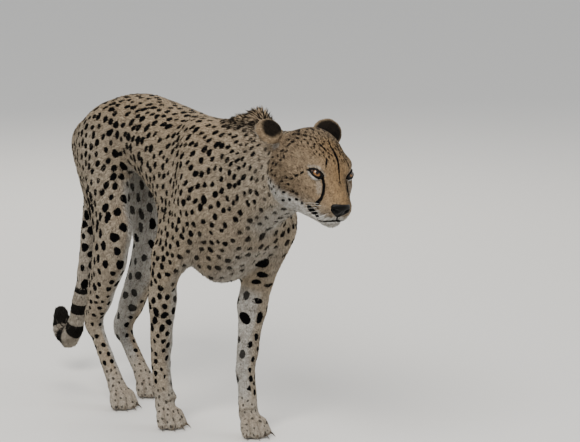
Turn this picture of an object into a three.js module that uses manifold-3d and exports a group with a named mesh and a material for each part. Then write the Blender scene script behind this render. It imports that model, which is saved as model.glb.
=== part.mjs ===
// A standing cheetah, adult male, life size, in mm.  +Z is up, it faces -Y, its right side is -X.
// The body is one smooth shape made of bones and muscles, turned into triangles and parted by thin cuts.
import * as THREE from 'three';
import Module from 'manifold-3d';

const wasm = await Module();
wasm.setup();

// ------------------------------------------------------------------ driving sizes
const GAP = 0.3;                 // clearance between neighbouring parts
const BODY_CELL = 11;            // size of the sampling cell on the trunk and legs
const HEAD_CELL = 5;
const PAW_CELL = 4.2;
const EAR_CELL = 3.6;
const BODY_TRIANGLES = 2640;
const HEAD_TRIANGLES = 1380;
const PAW_TRIANGLES = 280;
const EAR_TRIANGLES = 120;

const WITHERS_HEIGHT = 782;      // top of the shoulder blades
const RUMP_HEIGHT = 803;
const EYE_RADIUS = 17;
const HEAD_SIZE = 1.08;          // a big male's head over the common one
const HEAD_PLACE = [0, -692, 716];   // the point between the eyes
const HEAD_YAW = 0;             // degrees, towards its right
const HEAD_PITCH = 20;           // degrees, nose down
const HEAD_ROLL = 6;             // degrees, left side down
const CLAW_LENGTH = 17;
const CLAW_RADIUS = 3.6;

const point = (x, y, z) => new THREE.Vector3(x, y, z);
const degrees = (value) => (value * Math.PI) / 180;
const clamp = (value, low, high) => Math.min(high, Math.max(low, value));

// ------------------------------------------------------------------ implicit shapes
// A limb is a tapering round bar from a to b; flat < 1 makes it thinner from side to side.
function limb(a, b, radiusA, radiusB, flat = 1) {
  const along = b.clone().sub(a);
  const square = along.lengthSq();
  return (x, y, z) => {
    const t = clamp(((x - a.x) * along.x + (y - a.y) * along.y + (z - a.z) * along.z) / square, 0, 1);
    const dx = (x - a.x - t * along.x) / flat;
    const dy = y - a.y - t * along.y;
    const dz = z - a.z - t * along.z;
    return Math.sqrt(dx * dx + dy * dy + dz * dz) - radiusA - t * (radiusB - radiusA);
  };
}

// A blob is an ellipsoid; tilt turns it nose down about the X axis.
function blob(centre, rx, ry, rz, tilt = 0) {
  const cosine = Math.cos(degrees(tilt));
  const sine = Math.sin(degrees(tilt));
  return (x, y, z) => {
    const dx = x - centre.x;
    const dy = (y - centre.y) * cosine + (z - centre.z) * sine;
    const dz = (z - centre.z) * cosine - (y - centre.y) * sine;
    const outer = Math.hypot(dx / rx, dy / ry, dz / rz);
    const inner = Math.hypot(dx / (rx * rx), dy / (ry * ry), dz / (rz * rz));
    return inner < 1e-9 ? -Math.min(rx, ry, rz) : (outer * (outer - 1)) / inner;
  };
}

function blend(a, b, soft) {
  const near = Math.max(soft - Math.abs(a - b), 0) / soft;
  return Math.min(a, b) - (near * near * soft) / 4;
}

// A value that runs smoothly through the stations of a profile.
function through(stations, column, y) {
  let i = 0;
  while (i < stations.length - 2 && y > stations[i + 1][0]) i += 1;
  const before = stations[Math.max(i - 1, 0)];
  const from = stations[i];
  const to = stations[i + 1];
  const after = stations[Math.min(i + 2, stations.length - 1)];
  const width = to[0] - from[0];
  const t = clamp((y - from[0]) / width, 0, 1);
  const slopeA = (to[column] - before[column]) / Math.max(to[0] - before[0], 1);
  const slopeB = (after[column] - from[column]) / Math.max(after[0] - from[0], 1);
  const t2 = t * t;
  const t3 = t2 * t;
  return (
    from[column] * (2 * t3 - 3 * t2 + 1) +
    slopeA * width * (t3 - 2 * t2 + t) +
    to[column] * (3 * t2 - 2 * t3) +
    slopeB * width * (t3 - t2)
  );
}

// ------------------------------------------------------------------ trunk
// Each station is [y, back, belly, half width, how much the breast narrows below].
const TRUNK = [
  [-352, 735, 520, 62, 0.1],
  [-280, WITHERS_HEIGHT - 12, 436, 94, 0.25],
  [-190, WITHERS_HEIGHT, 394, 112, 0.34],
  [-90, WITHERS_HEIGHT + 2, 420, 117, 0.3],
  [10, WITHERS_HEIGHT + 10, 530, 109, 0.12],
  [110, RUMP_HEIGHT - 2, 592, 102, 0.05],
  [200, RUMP_HEIGHT + 2, 612, 96, 0],
  [300, RUMP_HEIGHT - 18, 606, 98, 0],
  [385, RUMP_HEIGHT - 72, 618, 74, 0],
];

function trunk(x, y, z) {
  const inside = clamp(y, TRUNK[0][0], TRUNK[TRUNK.length - 1][0]);
  const back = through(TRUNK, 1, inside);
  const belly = through(TRUNK, 2, inside);
  const wide = through(TRUNK, 3, inside);
  const keel = through(TRUNK, 4, inside);
  const middle = (back + belly) / 2;
  const tall = (back - belly) / 2;
  const level = clamp((z - middle) / tall, -1, 1);
  const half = wide * (1 + keel * level * (level < 0 ? 1 : 0.12));
  const ring = Math.hypot(x / half, (z - middle) / tall);
  const side = (ring - 1) * Math.min(half, tall);
  const over = Math.abs(y - inside);
  return over > 0 ? Math.hypot(Math.max(side, 0), over) + Math.min(side, 0) : side;
}

// ------------------------------------------------------------------ pose: where each joint is
const LEGS = {
  fore_left: {
    side: 1, blade: point(50, -225, 738), shoulder: point(93, -312, 552), elbow: point(94, -205, 418),
    wrist: point(64, -200, 160), knuckle: point(65, -214, 52), toe: -1, girth: 1.02,
  },
  fore_right: {
    side: -1, blade: point(-50, -165, 744), shoulder: point(-88, -240, 600), elbow: point(-93, -72, 430),
    wrist: point(-70, -14, 162), knuckle: point(-66, -26, 52), toe: -1, girth: 0.9,
  },
  hind_left: {
    side: 1, hip: point(72, 306, 655), stifle: point(98, 300, 418), hock: point(58, 428, 155),
    knuckle: point(60, 318, 50), seat: point(50, 400, 646), toe: -1,
  },
  hind_right: {
    side: -1, hip: point(-74, 302, 660), stifle: point(-100, 152, 455), hock: point(-76, 333, 203),
    knuckle: point(-64, 228, 50), seat: point(-54, 408, 654), toe: -1,
  },
};

const between = (a, b, t) => a.clone().lerp(b, t);
const shifted = (a, x, y, z) => a.clone().add(point(x, y, z));

function foreleg(leg, add) {
  const { side, blade, shoulder, elbow, wrist, knuckle, girth } = leg;
  add(limb(blade, between(blade, shoulder, 0.6), 32, 40, 0.7), 50);
  add(limb(between(blade, shoulder, 0.4), shoulder, 40, 44, 0.8), 50);
  add(limb(shoulder, between(shoulder, elbow, 0.75), 46, 38, 0.8), 40);
  add(limb(shifted(blade, side * 22, 58, -110), shifted(elbow, 0, 0, 24), 44, 28, 0.55), 36);
  add(limb(shifted(elbow, 0, -10, 10), between(elbow, wrist, 0.38), 43 * girth, 37 * girth, 0.93), 26);
  add(limb(shifted(elbow, 0, 10, 14), shifted(elbow, 0, 0, -50), 18, 15), 20);
  add(limb(shifted(shoulder, 0, -16, -38), shifted(elbow, 0, -20, -36), 37, 27, 0.85), 28);
  add(limb(between(elbow, wrist, 0.38), between(elbow, wrist, 0.82), 36, 27, 0.95), 20);
  add(limb(between(elbow, wrist, 0.82), wrist, 26, 24), 14);
  add(limb(wrist, knuckle, 23.5, 23), 12);
  add(limb(shifted(wrist, 0, 18, -10), shifted(wrist, 0, 12, -26), 8, 7), 12);
}

function hindleg(leg, add) {
  const { side, hip, stifle, hock, knuckle, seat } = leg;
  const heel = shifted(hock, 0, 22, 18);
  add(limb(shifted(hip, 0, -55, 40), between(hip, stifle, 0.45), 62, 66, 0.6), 60);
  add(limb(hip, between(hip, stifle, 0.92), 76, 50, 0.62), 50);
  add(limb(seat, between(stifle, hock, 0.22), 56, 40, 0.64), 55);
  add(limb(shifted(stifle, 0, 0, 18), between(stifle, hock, 0.35), 44, 38, 0.75), 30);
  add(limb(between(stifle, hock, 0.3), between(stifle, hock, 0.75), 44, 33, 0.84), 24);
  add(limb(between(stifle, hock, 0.7), hock, 28, 22), 18);
  add(limb(shifted(between(stifle, hock, 0.12), side * 3, 40, 0), heel, 38, 13, 0.74), 26);
  add(limb(heel, shifted(hock, 0, 6, -16), 13, 17), 14);
  add(limb(hock, knuckle, 19.5, 20.5), 16);
}

// Four toes, the middle pair longest, and the pad behind them.
function toes(leg) {
  const { knuckle, toe, side } = leg;
  const rows = [];
  const spread = leg.wrist ? 1 : 0.92;
  for (const [place, reach, turn] of [[-25, 38, -4], [-9, 51, -1.5], [9, 51, 1.5], [25, 38, 4]]) {
    const root = point(knuckle.x + place * 0.62 * spread, knuckle.y + toe * 8, 42);
    const bend = point(knuckle.x + place * 0.9 * spread, knuckle.y + toe * reach * 0.66, 33);
    const tip = point(knuckle.x + (place + turn) * spread, knuckle.y + toe * reach, 11);
    rows.push({ root, bend, tip, side });
  }
  return rows;
}

function paw(leg, add) {
  const { knuckle, toe } = leg;
  add(limb(shifted(knuckle, 0, 4, 2), shifted(knuckle, 0, toe * 14, -12), 21, 20), 10);
  for (const one of toes(leg)) {
    add(limb(one.root, one.bend, 12, 12.5, 0.9), 5);
    add(limb(one.bend, one.tip, 12.5, 12), 4);
  }
  add(blob(point(knuckle.x, knuckle.y + toe * 4, 17), 25, 22, 21), 7);
  if (leg.wrist) {
    const dew = point(knuckle.x - leg.side * 20, knuckle.y + 4, 84);
    add(limb(dew, shifted(dew, -leg.side * 4, -12, -12), 8.5, 7.5), 7);
  }
}

// ------------------------------------------------------------------ tail
const TAIL = [
  [0, 350, 708, 42], [0, 430, 684, 31], [2, 464, 620, 26], [4, 489, 520, 23.5], [5, 510, 410, 21.5],
  [5, 538, 300, 20], [3, 566, 206, 20], [0, 588, 132, 20.5], [-2, 618, 102, 22], [-4, 648, 122, 24],
  [-5, 660, 166, 18],
];

// ------------------------------------------------------------------ head, in its own frame
const headTurn = new THREE.Quaternion().setFromEuler(
  new THREE.Euler(degrees(HEAD_PITCH), degrees(HEAD_ROLL), degrees(HEAD_YAW), 'ZXY'),
);
const headMatrix = new THREE.Matrix4().compose(
  point(...HEAD_PLACE), headTurn, point(HEAD_SIZE, HEAD_SIZE, HEAD_SIZE),
);
const headInverse = headMatrix.clone().invert();
const onHead = (x, y, z) => point(x, y, z).applyMatrix4(headMatrix);

const headShapes = [];
const addHead = (shape, soft) => headShapes.push([shape, soft]);
addHead(blob(point(0, 66, 4), 57, 70, 54), 1);                    // skull and its muscles
addHead(blob(point(0, 14, 14), 42, 42, 34), 26);                  // forehead
addHead(limb(point(0, -2, 4), point(0, -66, -32), 25, 17), 22);   // bridge of the nose
addHead(limb(point(0, 20, -46), point(0, 96, -52), 42, 54), 40);  // throat
for (const side of [-1, 1]) {
  addHead(limb(point(side * 28, -11, 18), point(side * 46, 12, 18), 13, 12), 16);   // brow
  addHead(limb(point(side * 38, -14, -19), point(side * 53, 40, -12), 16, 19), 18); // cheekbone
  addHead(blob(point(side * 42, 36, -30), 24, 42, 38), 22);        // cheek
  addHead(blob(point(side * 19, -50, -55), 22, 28, 26, 12), 14);   // whisker pad
  addHead(limb(point(side * 13, -46, -82), point(side * 42, 50, -78), 14, 26), 18); // jaw
  addHead(blob(point(side * 45, 74, -60), 22, 40, 44), 24);        // ruff behind the cheek
  addHead(blob(point(side * 29, -4, -44), 20, 38, 32), 20);        // side of the face
}
addHead(blob(point(0, -77, -42), 20, 11, 13, 24), 8);              // nose
addHead(blob(point(0, -57, -83), 19, 19, 15), 12);                 // chin

function headOnly(x, y, z) {
  const e = headInverse.elements;
  const lx = e[0] * x + e[4] * y + e[8] * z + e[12];
  const ly = e[1] * x + e[5] * y + e[9] * z + e[13];
  const lz = e[2] * x + e[6] * y + e[10] * z + e[14];
  let distance = 1e6;
  for (const [shape, soft] of headShapes) distance = blend(distance, shape(lx, ly, lz), soft);
  for (const side of [-1, 1]) {
    const hollow = Math.hypot(lx - side * 43, (ly + 22) * 1.1, (lz - 2) * 1.2) - 15;
    distance = -blend(-distance, hollow, 9);
  }
  return distance * HEAD_SIZE;
}

// ------------------------------------------------------------------ the whole body
const bodyShapes = [[trunk, 1]];
const addBody = (shape, soft) => bodyShapes.push([shape, soft]);
for (const leg of Object.values(LEGS)) {
  if (leg.wrist) foreleg(leg, addBody);
  else hindleg(leg, addBody);
  paw(leg, addBody);
}
for (let i = 0; i + 1 < TAIL.length; i += 1) {
  const [x, y, z, radius] = TAIL[i];
  const [nextX, nextY, nextZ, nextRadius] = TAIL[i + 1];
  addBody(limb(point(x, y, z), point(nextX, nextY, nextZ), radius, nextRadius), i === 0 ? 40 : 8);
}
const nape = onHead(0, 78, 0);
const gullet = onHead(0, 70, -44);
addBody(limb(point(0, -250, 668), nape, 92, 62), 60);               // neck
addBody(limb(point(0, -300, 580), gullet, 78, 52), 60);             // throat and breast
addBody(limb(point(0, -320, 540), point(0, -200, 470), 62, 60), 50);  // breastbone
addBody(limb(point(0, -290, 778), point(0, -376, 792), 30, 37, 0.7), 28);  // mane
addBody(limb(point(0, -376, 792), point(0, -455, 757), 37, 22, 0.7), 28);
addBody(headOnly, 30);

function body(x, y, z) {
  let distance = 1e6;
  for (const [shape, soft] of bodyShapes) distance = blend(distance, shape(x, y, z), soft);
  return distance;
}

// ------------------------------------------------------------------ ears
const EARS = {
  '-1': { root: point(-65, 139, 18), reach: point(-0.55, 0.75, 0.36), facing: point(-0.05, 0.4, -0.9) },
  1: { root: point(43, 106, 31), reach: point(0.4, 0.4, 0.82), facing: point(0.35, 0.7, -0.55) },
};

function earShape(side) {
  const root = EARS[side].root;
  const reach = EARS[side].reach.clone().normalize();
  const facing = EARS[side].facing.clone().projectOnPlane(reach).normalize();
  const across = new THREE.Vector3().crossVectors(reach, facing);
  return (x, y, z) => {
    const local = point(x, y, z).applyMatrix4(headInverse).sub(root);
    const up = local.dot(reach) - 12;
    const out = local.dot(facing);
    const wide = local.dot(across);
    const shell = (Math.hypot(up / 28, (out - 2) / 18, wide / 30) - 1) * 18;
    const cup = (Math.hypot((up - 3) / 22.5, (out - 10) / 18, wide / 24.5) - 1) * 17;
    return Math.max(shell, -cup) * HEAD_SIZE;
  };
}

// ------------------------------------------------------------------ from shape to triangles
// Each cell is parted into six tetrahedra, so that the surface is always closed.
function polygonise(shape, low, high, cell) {
  const counts = [0, 1, 2].map((i) => Math.ceil((high[i] - low[i]) / cell) + 1);
  const [nx, ny, nz] = counts;
  const values = new Float32Array(nx * ny * nz).fill(1e6);
  const index = (i, j, k) => (k * ny + j) * nx + i;
  const BLOCK = 6;
  const reach = BLOCK * cell * 0.87 * 2 + 3 * cell;
  for (let bk = 0; bk < nz; bk += BLOCK) {
    for (let bj = 0; bj < ny; bj += BLOCK) {
      for (let bi = 0; bi < nx; bi += BLOCK) {
        const half = BLOCK / 2;
        const middle = shape(
          low[0] + (bi + half) * cell, low[1] + (bj + half) * cell, low[2] + (bk + half) * cell,
        );
        const far = Math.abs(middle) > reach;
        for (let k = bk; k < Math.min(bk + BLOCK, nz); k += 1) {
          for (let j = bj; j < Math.min(bj + BLOCK, ny); j += 1) {
            for (let i = bi; i < Math.min(bi + BLOCK, nx); i += 1) {
              const value = far ? middle : shape(low[0] + i * cell, low[1] + j * cell, low[2] + k * cell);
              const rim = i === 0 || j === 0 || k === 0 || i === nx - 1 || j === ny - 1 || k === nz - 1;
              values[index(i, j, k)] = rim ? Math.max(value, cell * 0.1) : value;
            }
          }
        }
      }
    }
  }
  const positions = [];
  const triangles = [];
  const known = new Map();
  const total = values.length;
  const spot = (n) => {
    const i = n % nx;
    const j = Math.floor(n / nx) % ny;
    const k = Math.floor(n / (nx * ny));
    return [low[0] + i * cell, low[1] + j * cell, low[2] + k * cell];
  };
  const crossing = (a, b) => {
    const key = a < b ? a * total + b : b * total + a;
    const found = known.get(key);
    if (found !== undefined) return found;
    const pa = spot(a);
    const pb = spot(b);
    const t = clamp(values[a] / (values[a] - values[b]), 0.04, 0.96);
    const at = [0, 1, 2].map((i) => pa[i] + t * (pb[i] - pa[i]));
    positions.push(at);
    known.set(key, positions.length - 1);
    return positions.length - 1;
  };
  const emit = (a, b, c) => triangles.push([a, b, c]);
  const PATHS = [[1, 3], [3, 2], [2, 6], [6, 4], [4, 5], [5, 1]];
  const corner = new Array(8);
  for (let k = 0; k + 1 < nz; k += 1) {
    for (let j = 0; j + 1 < ny; j += 1) {
      for (let i = 0; i + 1 < nx; i += 1) {
        let below = 0;
        for (let c = 0; c < 8; c += 1) {
          corner[c] = index(i + (c & 1), j + ((c >> 1) & 1), k + (c >> 2));
          if (values[corner[c]] < 0) below += 1;
        }
        if (below === 0 || below === 8) continue;
        for (const [b, c] of PATHS) {
          const four = [corner[0], corner[b], corner[c], corner[7]];
          const inside = four.filter((n) => values[n] < 0);
          const outside = four.filter((n) => values[n] >= 0);
          if (inside.length === 0 || outside.length === 0) continue;
          const flipped = permutationOdd(four, inside, outside);
          const turn = (p, q, r) => (flipped ? emit(p, r, q) : emit(p, q, r));
          if (inside.length === 1) {
            const [p, q, r] = outside.map((n) => crossing(inside[0], n));
            turn(p, q, r);
          } else if (inside.length === 3) {
            const [p, q, r] = inside.map((n) => crossing(n, outside[0]));
            turn(p, q, r);
          } else {
            const p = crossing(inside[0], outside[0]);
            const q = crossing(inside[0], outside[1]);
            const r = crossing(inside[1], outside[1]);
            const s = crossing(inside[1], outside[0]);
            turn(p, q, r);
            turn(p, r, s);
          }
        }
      }
    }
  }
  return { positions, triangles };
}

// Whether putting the inside corners first swaps the handedness of the tetrahedron.
function permutationOdd(four, inside, outside) {
  const order = [...inside, ...outside].map((n) => four.indexOf(n));
  let swaps = 0;
  for (let i = 0; i < 4; i += 1) {
    for (let j = i + 1; j < 4; j += 1) if (order[i] > order[j]) swaps += 1;
  }
  return swaps % 2 === 1;
}

// ------------------------------------------------------------------ fewer triangles, same shape
// Edges are taken out in the order of how little each moves the surface.
function thin(mesh, wanted) {
  const spots = mesh.positions.map((p) => p.slice());
  const faces = mesh.triangles.map((t) => t.slice());
  const around = spots.map(() => new Set());
  faces.forEach((face, f) => face.forEach((v) => around[v].add(f)));
  const quadrics = spots.map(() => new Float64Array(10));
  const planeOf = (a, b, c) => {
    const ux = b[0] - a[0];
    const uy = b[1] - a[1];
    const uz = b[2] - a[2];
    const vx = c[0] - a[0];
    const vy = c[1] - a[1];
    const vz = c[2] - a[2];
    const normal = [uy * vz - uz * vy, uz * vx - ux * vz, ux * vy - uy * vx];
    const size = Math.hypot(...normal);
    return { normal: normal.map((n) => n / (size || 1)), area: size / 2 };
  };
  for (const face of faces) {
    const [a, b, c] = face.map((v) => spots[v]);
    const { normal, area } = planeOf(a, b, c);
    const [n0, n1, n2] = normal;
    const d = -(n0 * a[0] + n1 * a[1] + n2 * a[2]);
    const q = [n0 * n0, n0 * n1, n0 * n2, n0 * d, n1 * n1, n1 * n2, n1 * d, n2 * n2, n2 * d, d * d];
    for (const v of face) for (let i = 0; i < 10; i += 1) quadrics[v][i] += q[i] * area;
  }
  const cost = (q, p) => {
    const [x, y, z] = p;
    return (
      q[0] * x * x + 2 * q[1] * x * y + 2 * q[2] * x * z + 2 * q[3] * x + q[4] * y * y +
      2 * q[5] * y * z + 2 * q[6] * y + q[7] * z * z + 2 * q[8] * z + q[9]
    );
  };
  const best = (u, v) => {
    const q = new Float64Array(10);
    for (let i = 0; i < 10; i += 1) q[i] = quadrics[u][i] + quadrics[v][i];
    const choices = [spots[u], spots[v], spots[u].map((s, i) => (s + spots[v][i]) / 2)];
    const det =
      q[0] * (q[4] * q[7] - q[5] * q[5]) - q[1] * (q[1] * q[7] - q[5] * q[2]) +
      q[2] * (q[1] * q[5] - q[4] * q[2]);
    if (Math.abs(det) > 1e-3) {
      const x = -(q[3] * (q[4] * q[7] - q[5] * q[5]) - q[1] * (q[6] * q[7] - q[5] * q[8]) +
        q[2] * (q[6] * q[5] - q[4] * q[8])) / det;
      const y = -(q[0] * (q[6] * q[7] - q[8] * q[5]) - q[3] * (q[1] * q[7] - q[5] * q[2]) +
        q[2] * (q[1] * q[8] - q[6] * q[2])) / det;
      const z = -(q[0] * (q[4] * q[8] - q[5] * q[6]) - q[1] * (q[1] * q[8] - q[6] * q[2]) +
        q[3] * (q[1] * q[5] - q[4] * q[2])) / det;
      const span = Math.hypot(...spots[u].map((s, i) => s - spots[v][i]));
      const off = Math.hypot(x - choices[2][0], y - choices[2][1], z - choices[2][2]);
      if (off < span * 1.5) choices.push([x, y, z]);
    }
    let pick = choices[2];
    let least = Infinity;
    for (const choice of choices) {
      const value = cost(q, choice);
      if (value < least) {
        least = value;
        pick = choice;
      }
    }
    const span = Math.hypot(...spots[u].map((s, i) => s - spots[v][i]));
    return { at: pick, value: Math.max(least, 0) + span * span * span * 1e-5 };
  };
  // a binary heap of edges, cheapest first
  const heap = [];
  const push = (item) => {
    heap.push(item);
    let i = heap.length - 1;
    while (i > 0) {
      const up = (i - 1) >> 1;
      if (heap[up].value <= heap[i].value) break;
      [heap[up], heap[i]] = [heap[i], heap[up]];
      i = up;
    }
  };
  const pop = () => {
    const top = heap[0];
    const last = heap.pop();
    if (heap.length > 0) {
      heap[0] = last;
      let i = 0;
      for (;;) {
        let small = i;
        for (const next of [2 * i + 1, 2 * i + 2]) {
          if (next < heap.length && heap[next].value < heap[small].value) small = next;
        }
        if (small === i) break;
        [heap[small], heap[i]] = [heap[i], heap[small]];
        i = small;
      }
    }
    return top;
  };
  const stamp = new Int32Array(spots.length);
  const neighbours = (v) => {
    const found = new Set();
    for (const f of around[v]) for (const w of faces[f]) if (w !== v) found.add(w);
    return found;
  };
  const offer = (u, v) => push({ ...best(u, v), u, v, su: stamp[u], sv: stamp[v] });
  for (let v = 0; v < spots.length; v += 1) for (const w of neighbours(v)) if (v < w) offer(v, w);
  let left = faces.length;
  while (left > wanted && heap.length > 0) {
    const edge = pop();
    const { u, v, at } = edge;
    if (stamp[u] !== edge.su || stamp[v] !== edge.sv || stamp[u] < 0 || stamp[v] < 0) continue;
    const nearU = neighbours(u);
    const nearV = neighbours(v);
    const shared = [...nearU].filter((w) => nearV.has(w));
    if (shared.length !== 2 || shared.some((w) => around[w].size < 4)) continue;
    let turned = false;
    for (const [one, other] of [[u, v], [v, u]]) {
      for (const f of around[one]) {
        if (faces[f].includes(other)) continue;
        const was = faces[f].map((w) => spots[w]);
        const now = faces[f].map((w) => (w === one ? at : spots[w]));
        const before = planeOf(...was);
        const after = planeOf(...now);
        const dot = before.normal[0] * after.normal[0] + before.normal[1] * after.normal[1] +
          before.normal[2] * after.normal[2];
        if (dot < 0.35 || after.area < 1e-3) turned = true;
      }
    }
    if (turned) continue;
    spots[u] = at;
    for (let i = 0; i < 10; i += 1) quadrics[u][i] += quadrics[v][i];
    for (const f of [...around[v]]) {
      if (faces[f].includes(u)) {
        for (const w of faces[f]) around[w].delete(f);
        faces[f] = null;
        left -= 1;
      } else {
        faces[f] = faces[f].map((w) => (w === v ? u : w));
        around[u].add(f);
      }
    }
    around[v].clear();
    stamp[v] = -1;
    stamp[u] += 1;
    for (const w of neighbours(u)) offer(u, w);
  }
  const used = new Map();
  const positions = [];
  const triangles = [];
  for (const face of faces) {
    if (!face) continue;
    triangles.push(face.map((v) => {
      if (!used.has(v)) {
        used.set(v, positions.length);
        positions.push(spots[v]);
      }
      return used.get(v);
    }));
  }
  return { positions, triangles };
}

// Moves each corner onto the true surface.
function settle(mesh, shape, times) {
  const step = 0.5;
  for (const p of mesh.positions) {
    for (let i = 0; i < times; i += 1) {
      const value = shape(...p);
      const slope = [0, 1, 2].map((axis) => {
        const q = p.slice();
        q[axis] += step;
        return (shape(...q) - value) / step;
      });
      const square = slope[0] ** 2 + slope[1] ** 2 + slope[2] ** 2;
      if (square < 0.05) break;
      const move = clamp(value / square, -4, 4);
      for (let axis = 0; axis < 3; axis += 1) p[axis] -= move * slope[axis];
    }
  }
  return mesh;
}

function solid(mesh) {
  const vertProperties = new Float32Array(mesh.positions.flat());
  const triVerts = new Uint32Array(mesh.triangles.flat());
  return new wasm.Manifold(new wasm.Mesh({ numProp: 3, vertProperties, triVerts }));
}

function fromGeometry(geometry) {
  const place = geometry.getAttribute('position');
  const order = geometry.index ? geometry.index.array : [...Array(place.count).keys()];
  const known = new Map();
  const positions = [];
  const ids = [];
  for (const i of order) {
    const p = [place.getX(i), place.getY(i), place.getZ(i)];
    const key = p.map((value) => Math.round(value * 1e4)).join();
    if (!known.has(key)) {
      known.set(key, positions.length);
      positions.push(p);
    }
    ids.push(known.get(key));
  }
  const triangles = [];
  for (let i = 0; i < ids.length; i += 3) {
    const [a, b, c] = [ids[i], ids[i + 1], ids[i + 2]];
    if (a !== b && b !== c && a !== c) triangles.push([a, b, c]);
  }
  return solid({ positions, triangles });
}

// ------------------------------------------------------------------ cutting regions
const FAR = 1500;

// All that lies on the side of the plane that the normal points to, moved out by grow.
function halfSpace(origin, normal, grow) {
  const direction = normal.clone().normalize();
  const box = new THREE.BoxGeometry(2 * FAR, 2 * FAR, 2 * FAR);
  const turn = new THREE.Quaternion().setFromUnitVectors(point(0, 0, 1), direction);
  box.applyMatrix4(new THREE.Matrix4().compose(
    origin.clone().addScaledVector(direction, FAR - grow), turn, point(1, 1, 1),
  ));
  return fromGeometry(box);
}

function region(planes, grow) {
  let whole = null;
  for (const [origin, normal] of planes) {
    const half = halfSpace(origin, normal, grow);
    whole = whole ? whole.intersect(half) : half;
  }
  return whole;
}

const group = new THREE.Group();

function look(color, roughness) {
  return new THREE.MeshStandardMaterial({ color, roughness, metalness: 0 });
}

function keep(name, shape, color, roughness) {
  const pieces = shape.decompose();
  let largest = pieces[0];
  for (const piece of pieces) if (piece.volume() > largest.volume()) largest = piece;
  const mesh = largest.getMesh();
  const geometry = new THREE.BufferGeometry();
  geometry.setAttribute('position', new THREE.BufferAttribute(new Float32Array(mesh.vertProperties), 3));
  geometry.setIndex(new THREE.BufferAttribute(new Uint32Array(mesh.triVerts), 1));
  const node = new THREE.Mesh(geometry, look(color, roughness));
  node.name = name;
  group.add(node);
  return largest;
}

// Takes the named regions off a solid one after another and returns what is left.
function carve(whole, cuts, color, roughness) {
  let rest = whole;
  const taken = {};
  for (const [name, planes, ownColor] of cuts) {
    taken[name] = keep(name, rest.intersect(region(planes, 0)), ownColor ?? color, roughness);
    rest = rest.subtract(region(planes, GAP));
  }
  return { rest, taken };
}

// ------------------------------------------------------------------ colours
const COAT = '#b39a78';
const COAT_PALE = '#cfc4b2';
const COAT_DARK = '#3a332c';
const HORN = '#4b433a';
const EYE = '#6d4a1e';
const NOSE = '#1d1a1a';

// ------------------------------------------------------------------ body solid and its cuts
const neckPlane = [onHead(0, 136, -20), point(0, -1, 0.2).normalize()];
const bodySolid = solid(settle(thin(
  polygonise(body, [-190, -640, 20], [190, 730, 880], BODY_CELL), BODY_TRIANGLES), body, 2));

let trunkAndLegs = bodySolid.subtract(region([neckPlane], GAP));
const pawPlanes = {};
for (const [name, leg] of Object.entries(LEGS)) {
  const upper = leg.wrist ?? leg.hock;
  pawPlanes[name] = [
    between(leg.knuckle, upper, leg.wrist ? 0.42 : 0.3), leg.knuckle.clone().sub(upper).normalize(),
  ];
}
const legCuts = [];
for (const [name, leg] of Object.entries(LEGS)) {
  const side = leg.side;
  const outside = [point(side * 8, 0, 0), point(side, 0, 0)];
  const tag = name.split('_')[1];
  if (leg.wrist) {
    const armpit = [point(side * 50, 0, 408), point(side * 0.5, 0, -0.86)];
    const low = [shifted(leg.elbow, 0, 0, 30), point(0, 0, -1)];
    const back = [shifted(leg.elbow, 0, 110, 0), point(0, -1, 0)];
    legCuts.push([`shoulder_${tag}`, [
      [point(side * 62, 0, 600), point(side, 0, -0.06)],
      [shifted(leg.elbow, 0, 60, 0), point(0, -1, 0.1)],
      [shifted(leg.elbow, 0, 0, 8), point(0, 0, 1)],
      [point(0, 0, 745), point(0, 0, -1)],
      [shifted(leg.shoulder, 0, -95, 0), point(0, 1, 0)],
    ]]);
    legCuts.push([`forearm_${tag}`, [outside, armpit, low, back, [shifted(leg.elbow, 0, -110, 0), point(0, 1, 0)]]]);
  } else {
    const heelPlane = [between(leg.hock, leg.stifle, 0.16), leg.hock.clone().sub(leg.stifle)];
    const kneePlane = [between(leg.stifle, leg.hock, 0.28), leg.hock.clone().sub(leg.stifle)];
    legCuts.push([`hind_cannon_${tag}`, [outside, heelPlane, [point(0, 0, 290), point(0, 0, -1)],
      [shifted(leg.hock, 0, 75, 0), point(0, -1, 0)]]]);
    legCuts.push([`shank_${tag}`, [outside, kneePlane, [point(0, 0, 470), point(0, 0, -1)],
      [shifted(leg.hock, 0, 62, 0), point(0, -1, 0)]]]);
    legCuts.push([`thigh_${tag}`, [
      [point(side * 36, 0, 600), point(side, 0, 0)],
      [point(0, 0, 700), point(0, 0.12, -1)],
      [shifted(leg.stifle, 0, -78, 0), point(0, 1, 0.1)],
    ]]);
  }
}
const pawSolids = {};
for (const [name, leg] of Object.entries(LEGS)) {
  const own = [pawPlanes[name], [point(leg.side * 8, 0, 0), point(leg.side, 0, 0)],
    [shifted(leg.knuckle, 0, 110, 0), point(0, -1, 0)], [shifted(leg.knuckle, 0, -110, 0), point(0, 1, 0)],
    [point(0, 0, 200), point(0, 0, -1)]];
  trunkAndLegs = trunkAndLegs.subtract(region(own, GAP / 2));
  const { knuckle } = leg;
  const fine = solid(settle(thin(
    polygonise(body, [knuckle.x - 62, knuckle.y - 92, -PAW_CELL * 3], [knuckle.x + 62, knuckle.y + 88, 150],
      PAW_CELL), PAW_TRIANGLES), body, 1));
  pawSolids[name] = fine.intersect(region(own, -GAP / 2)).intersect(region([[point(0, 0, 0), point(0, 0, 1)]], 0));
}
const { rest: torso } = carve(trunkAndLegs, legCuts, COAT, 0.85);
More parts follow.
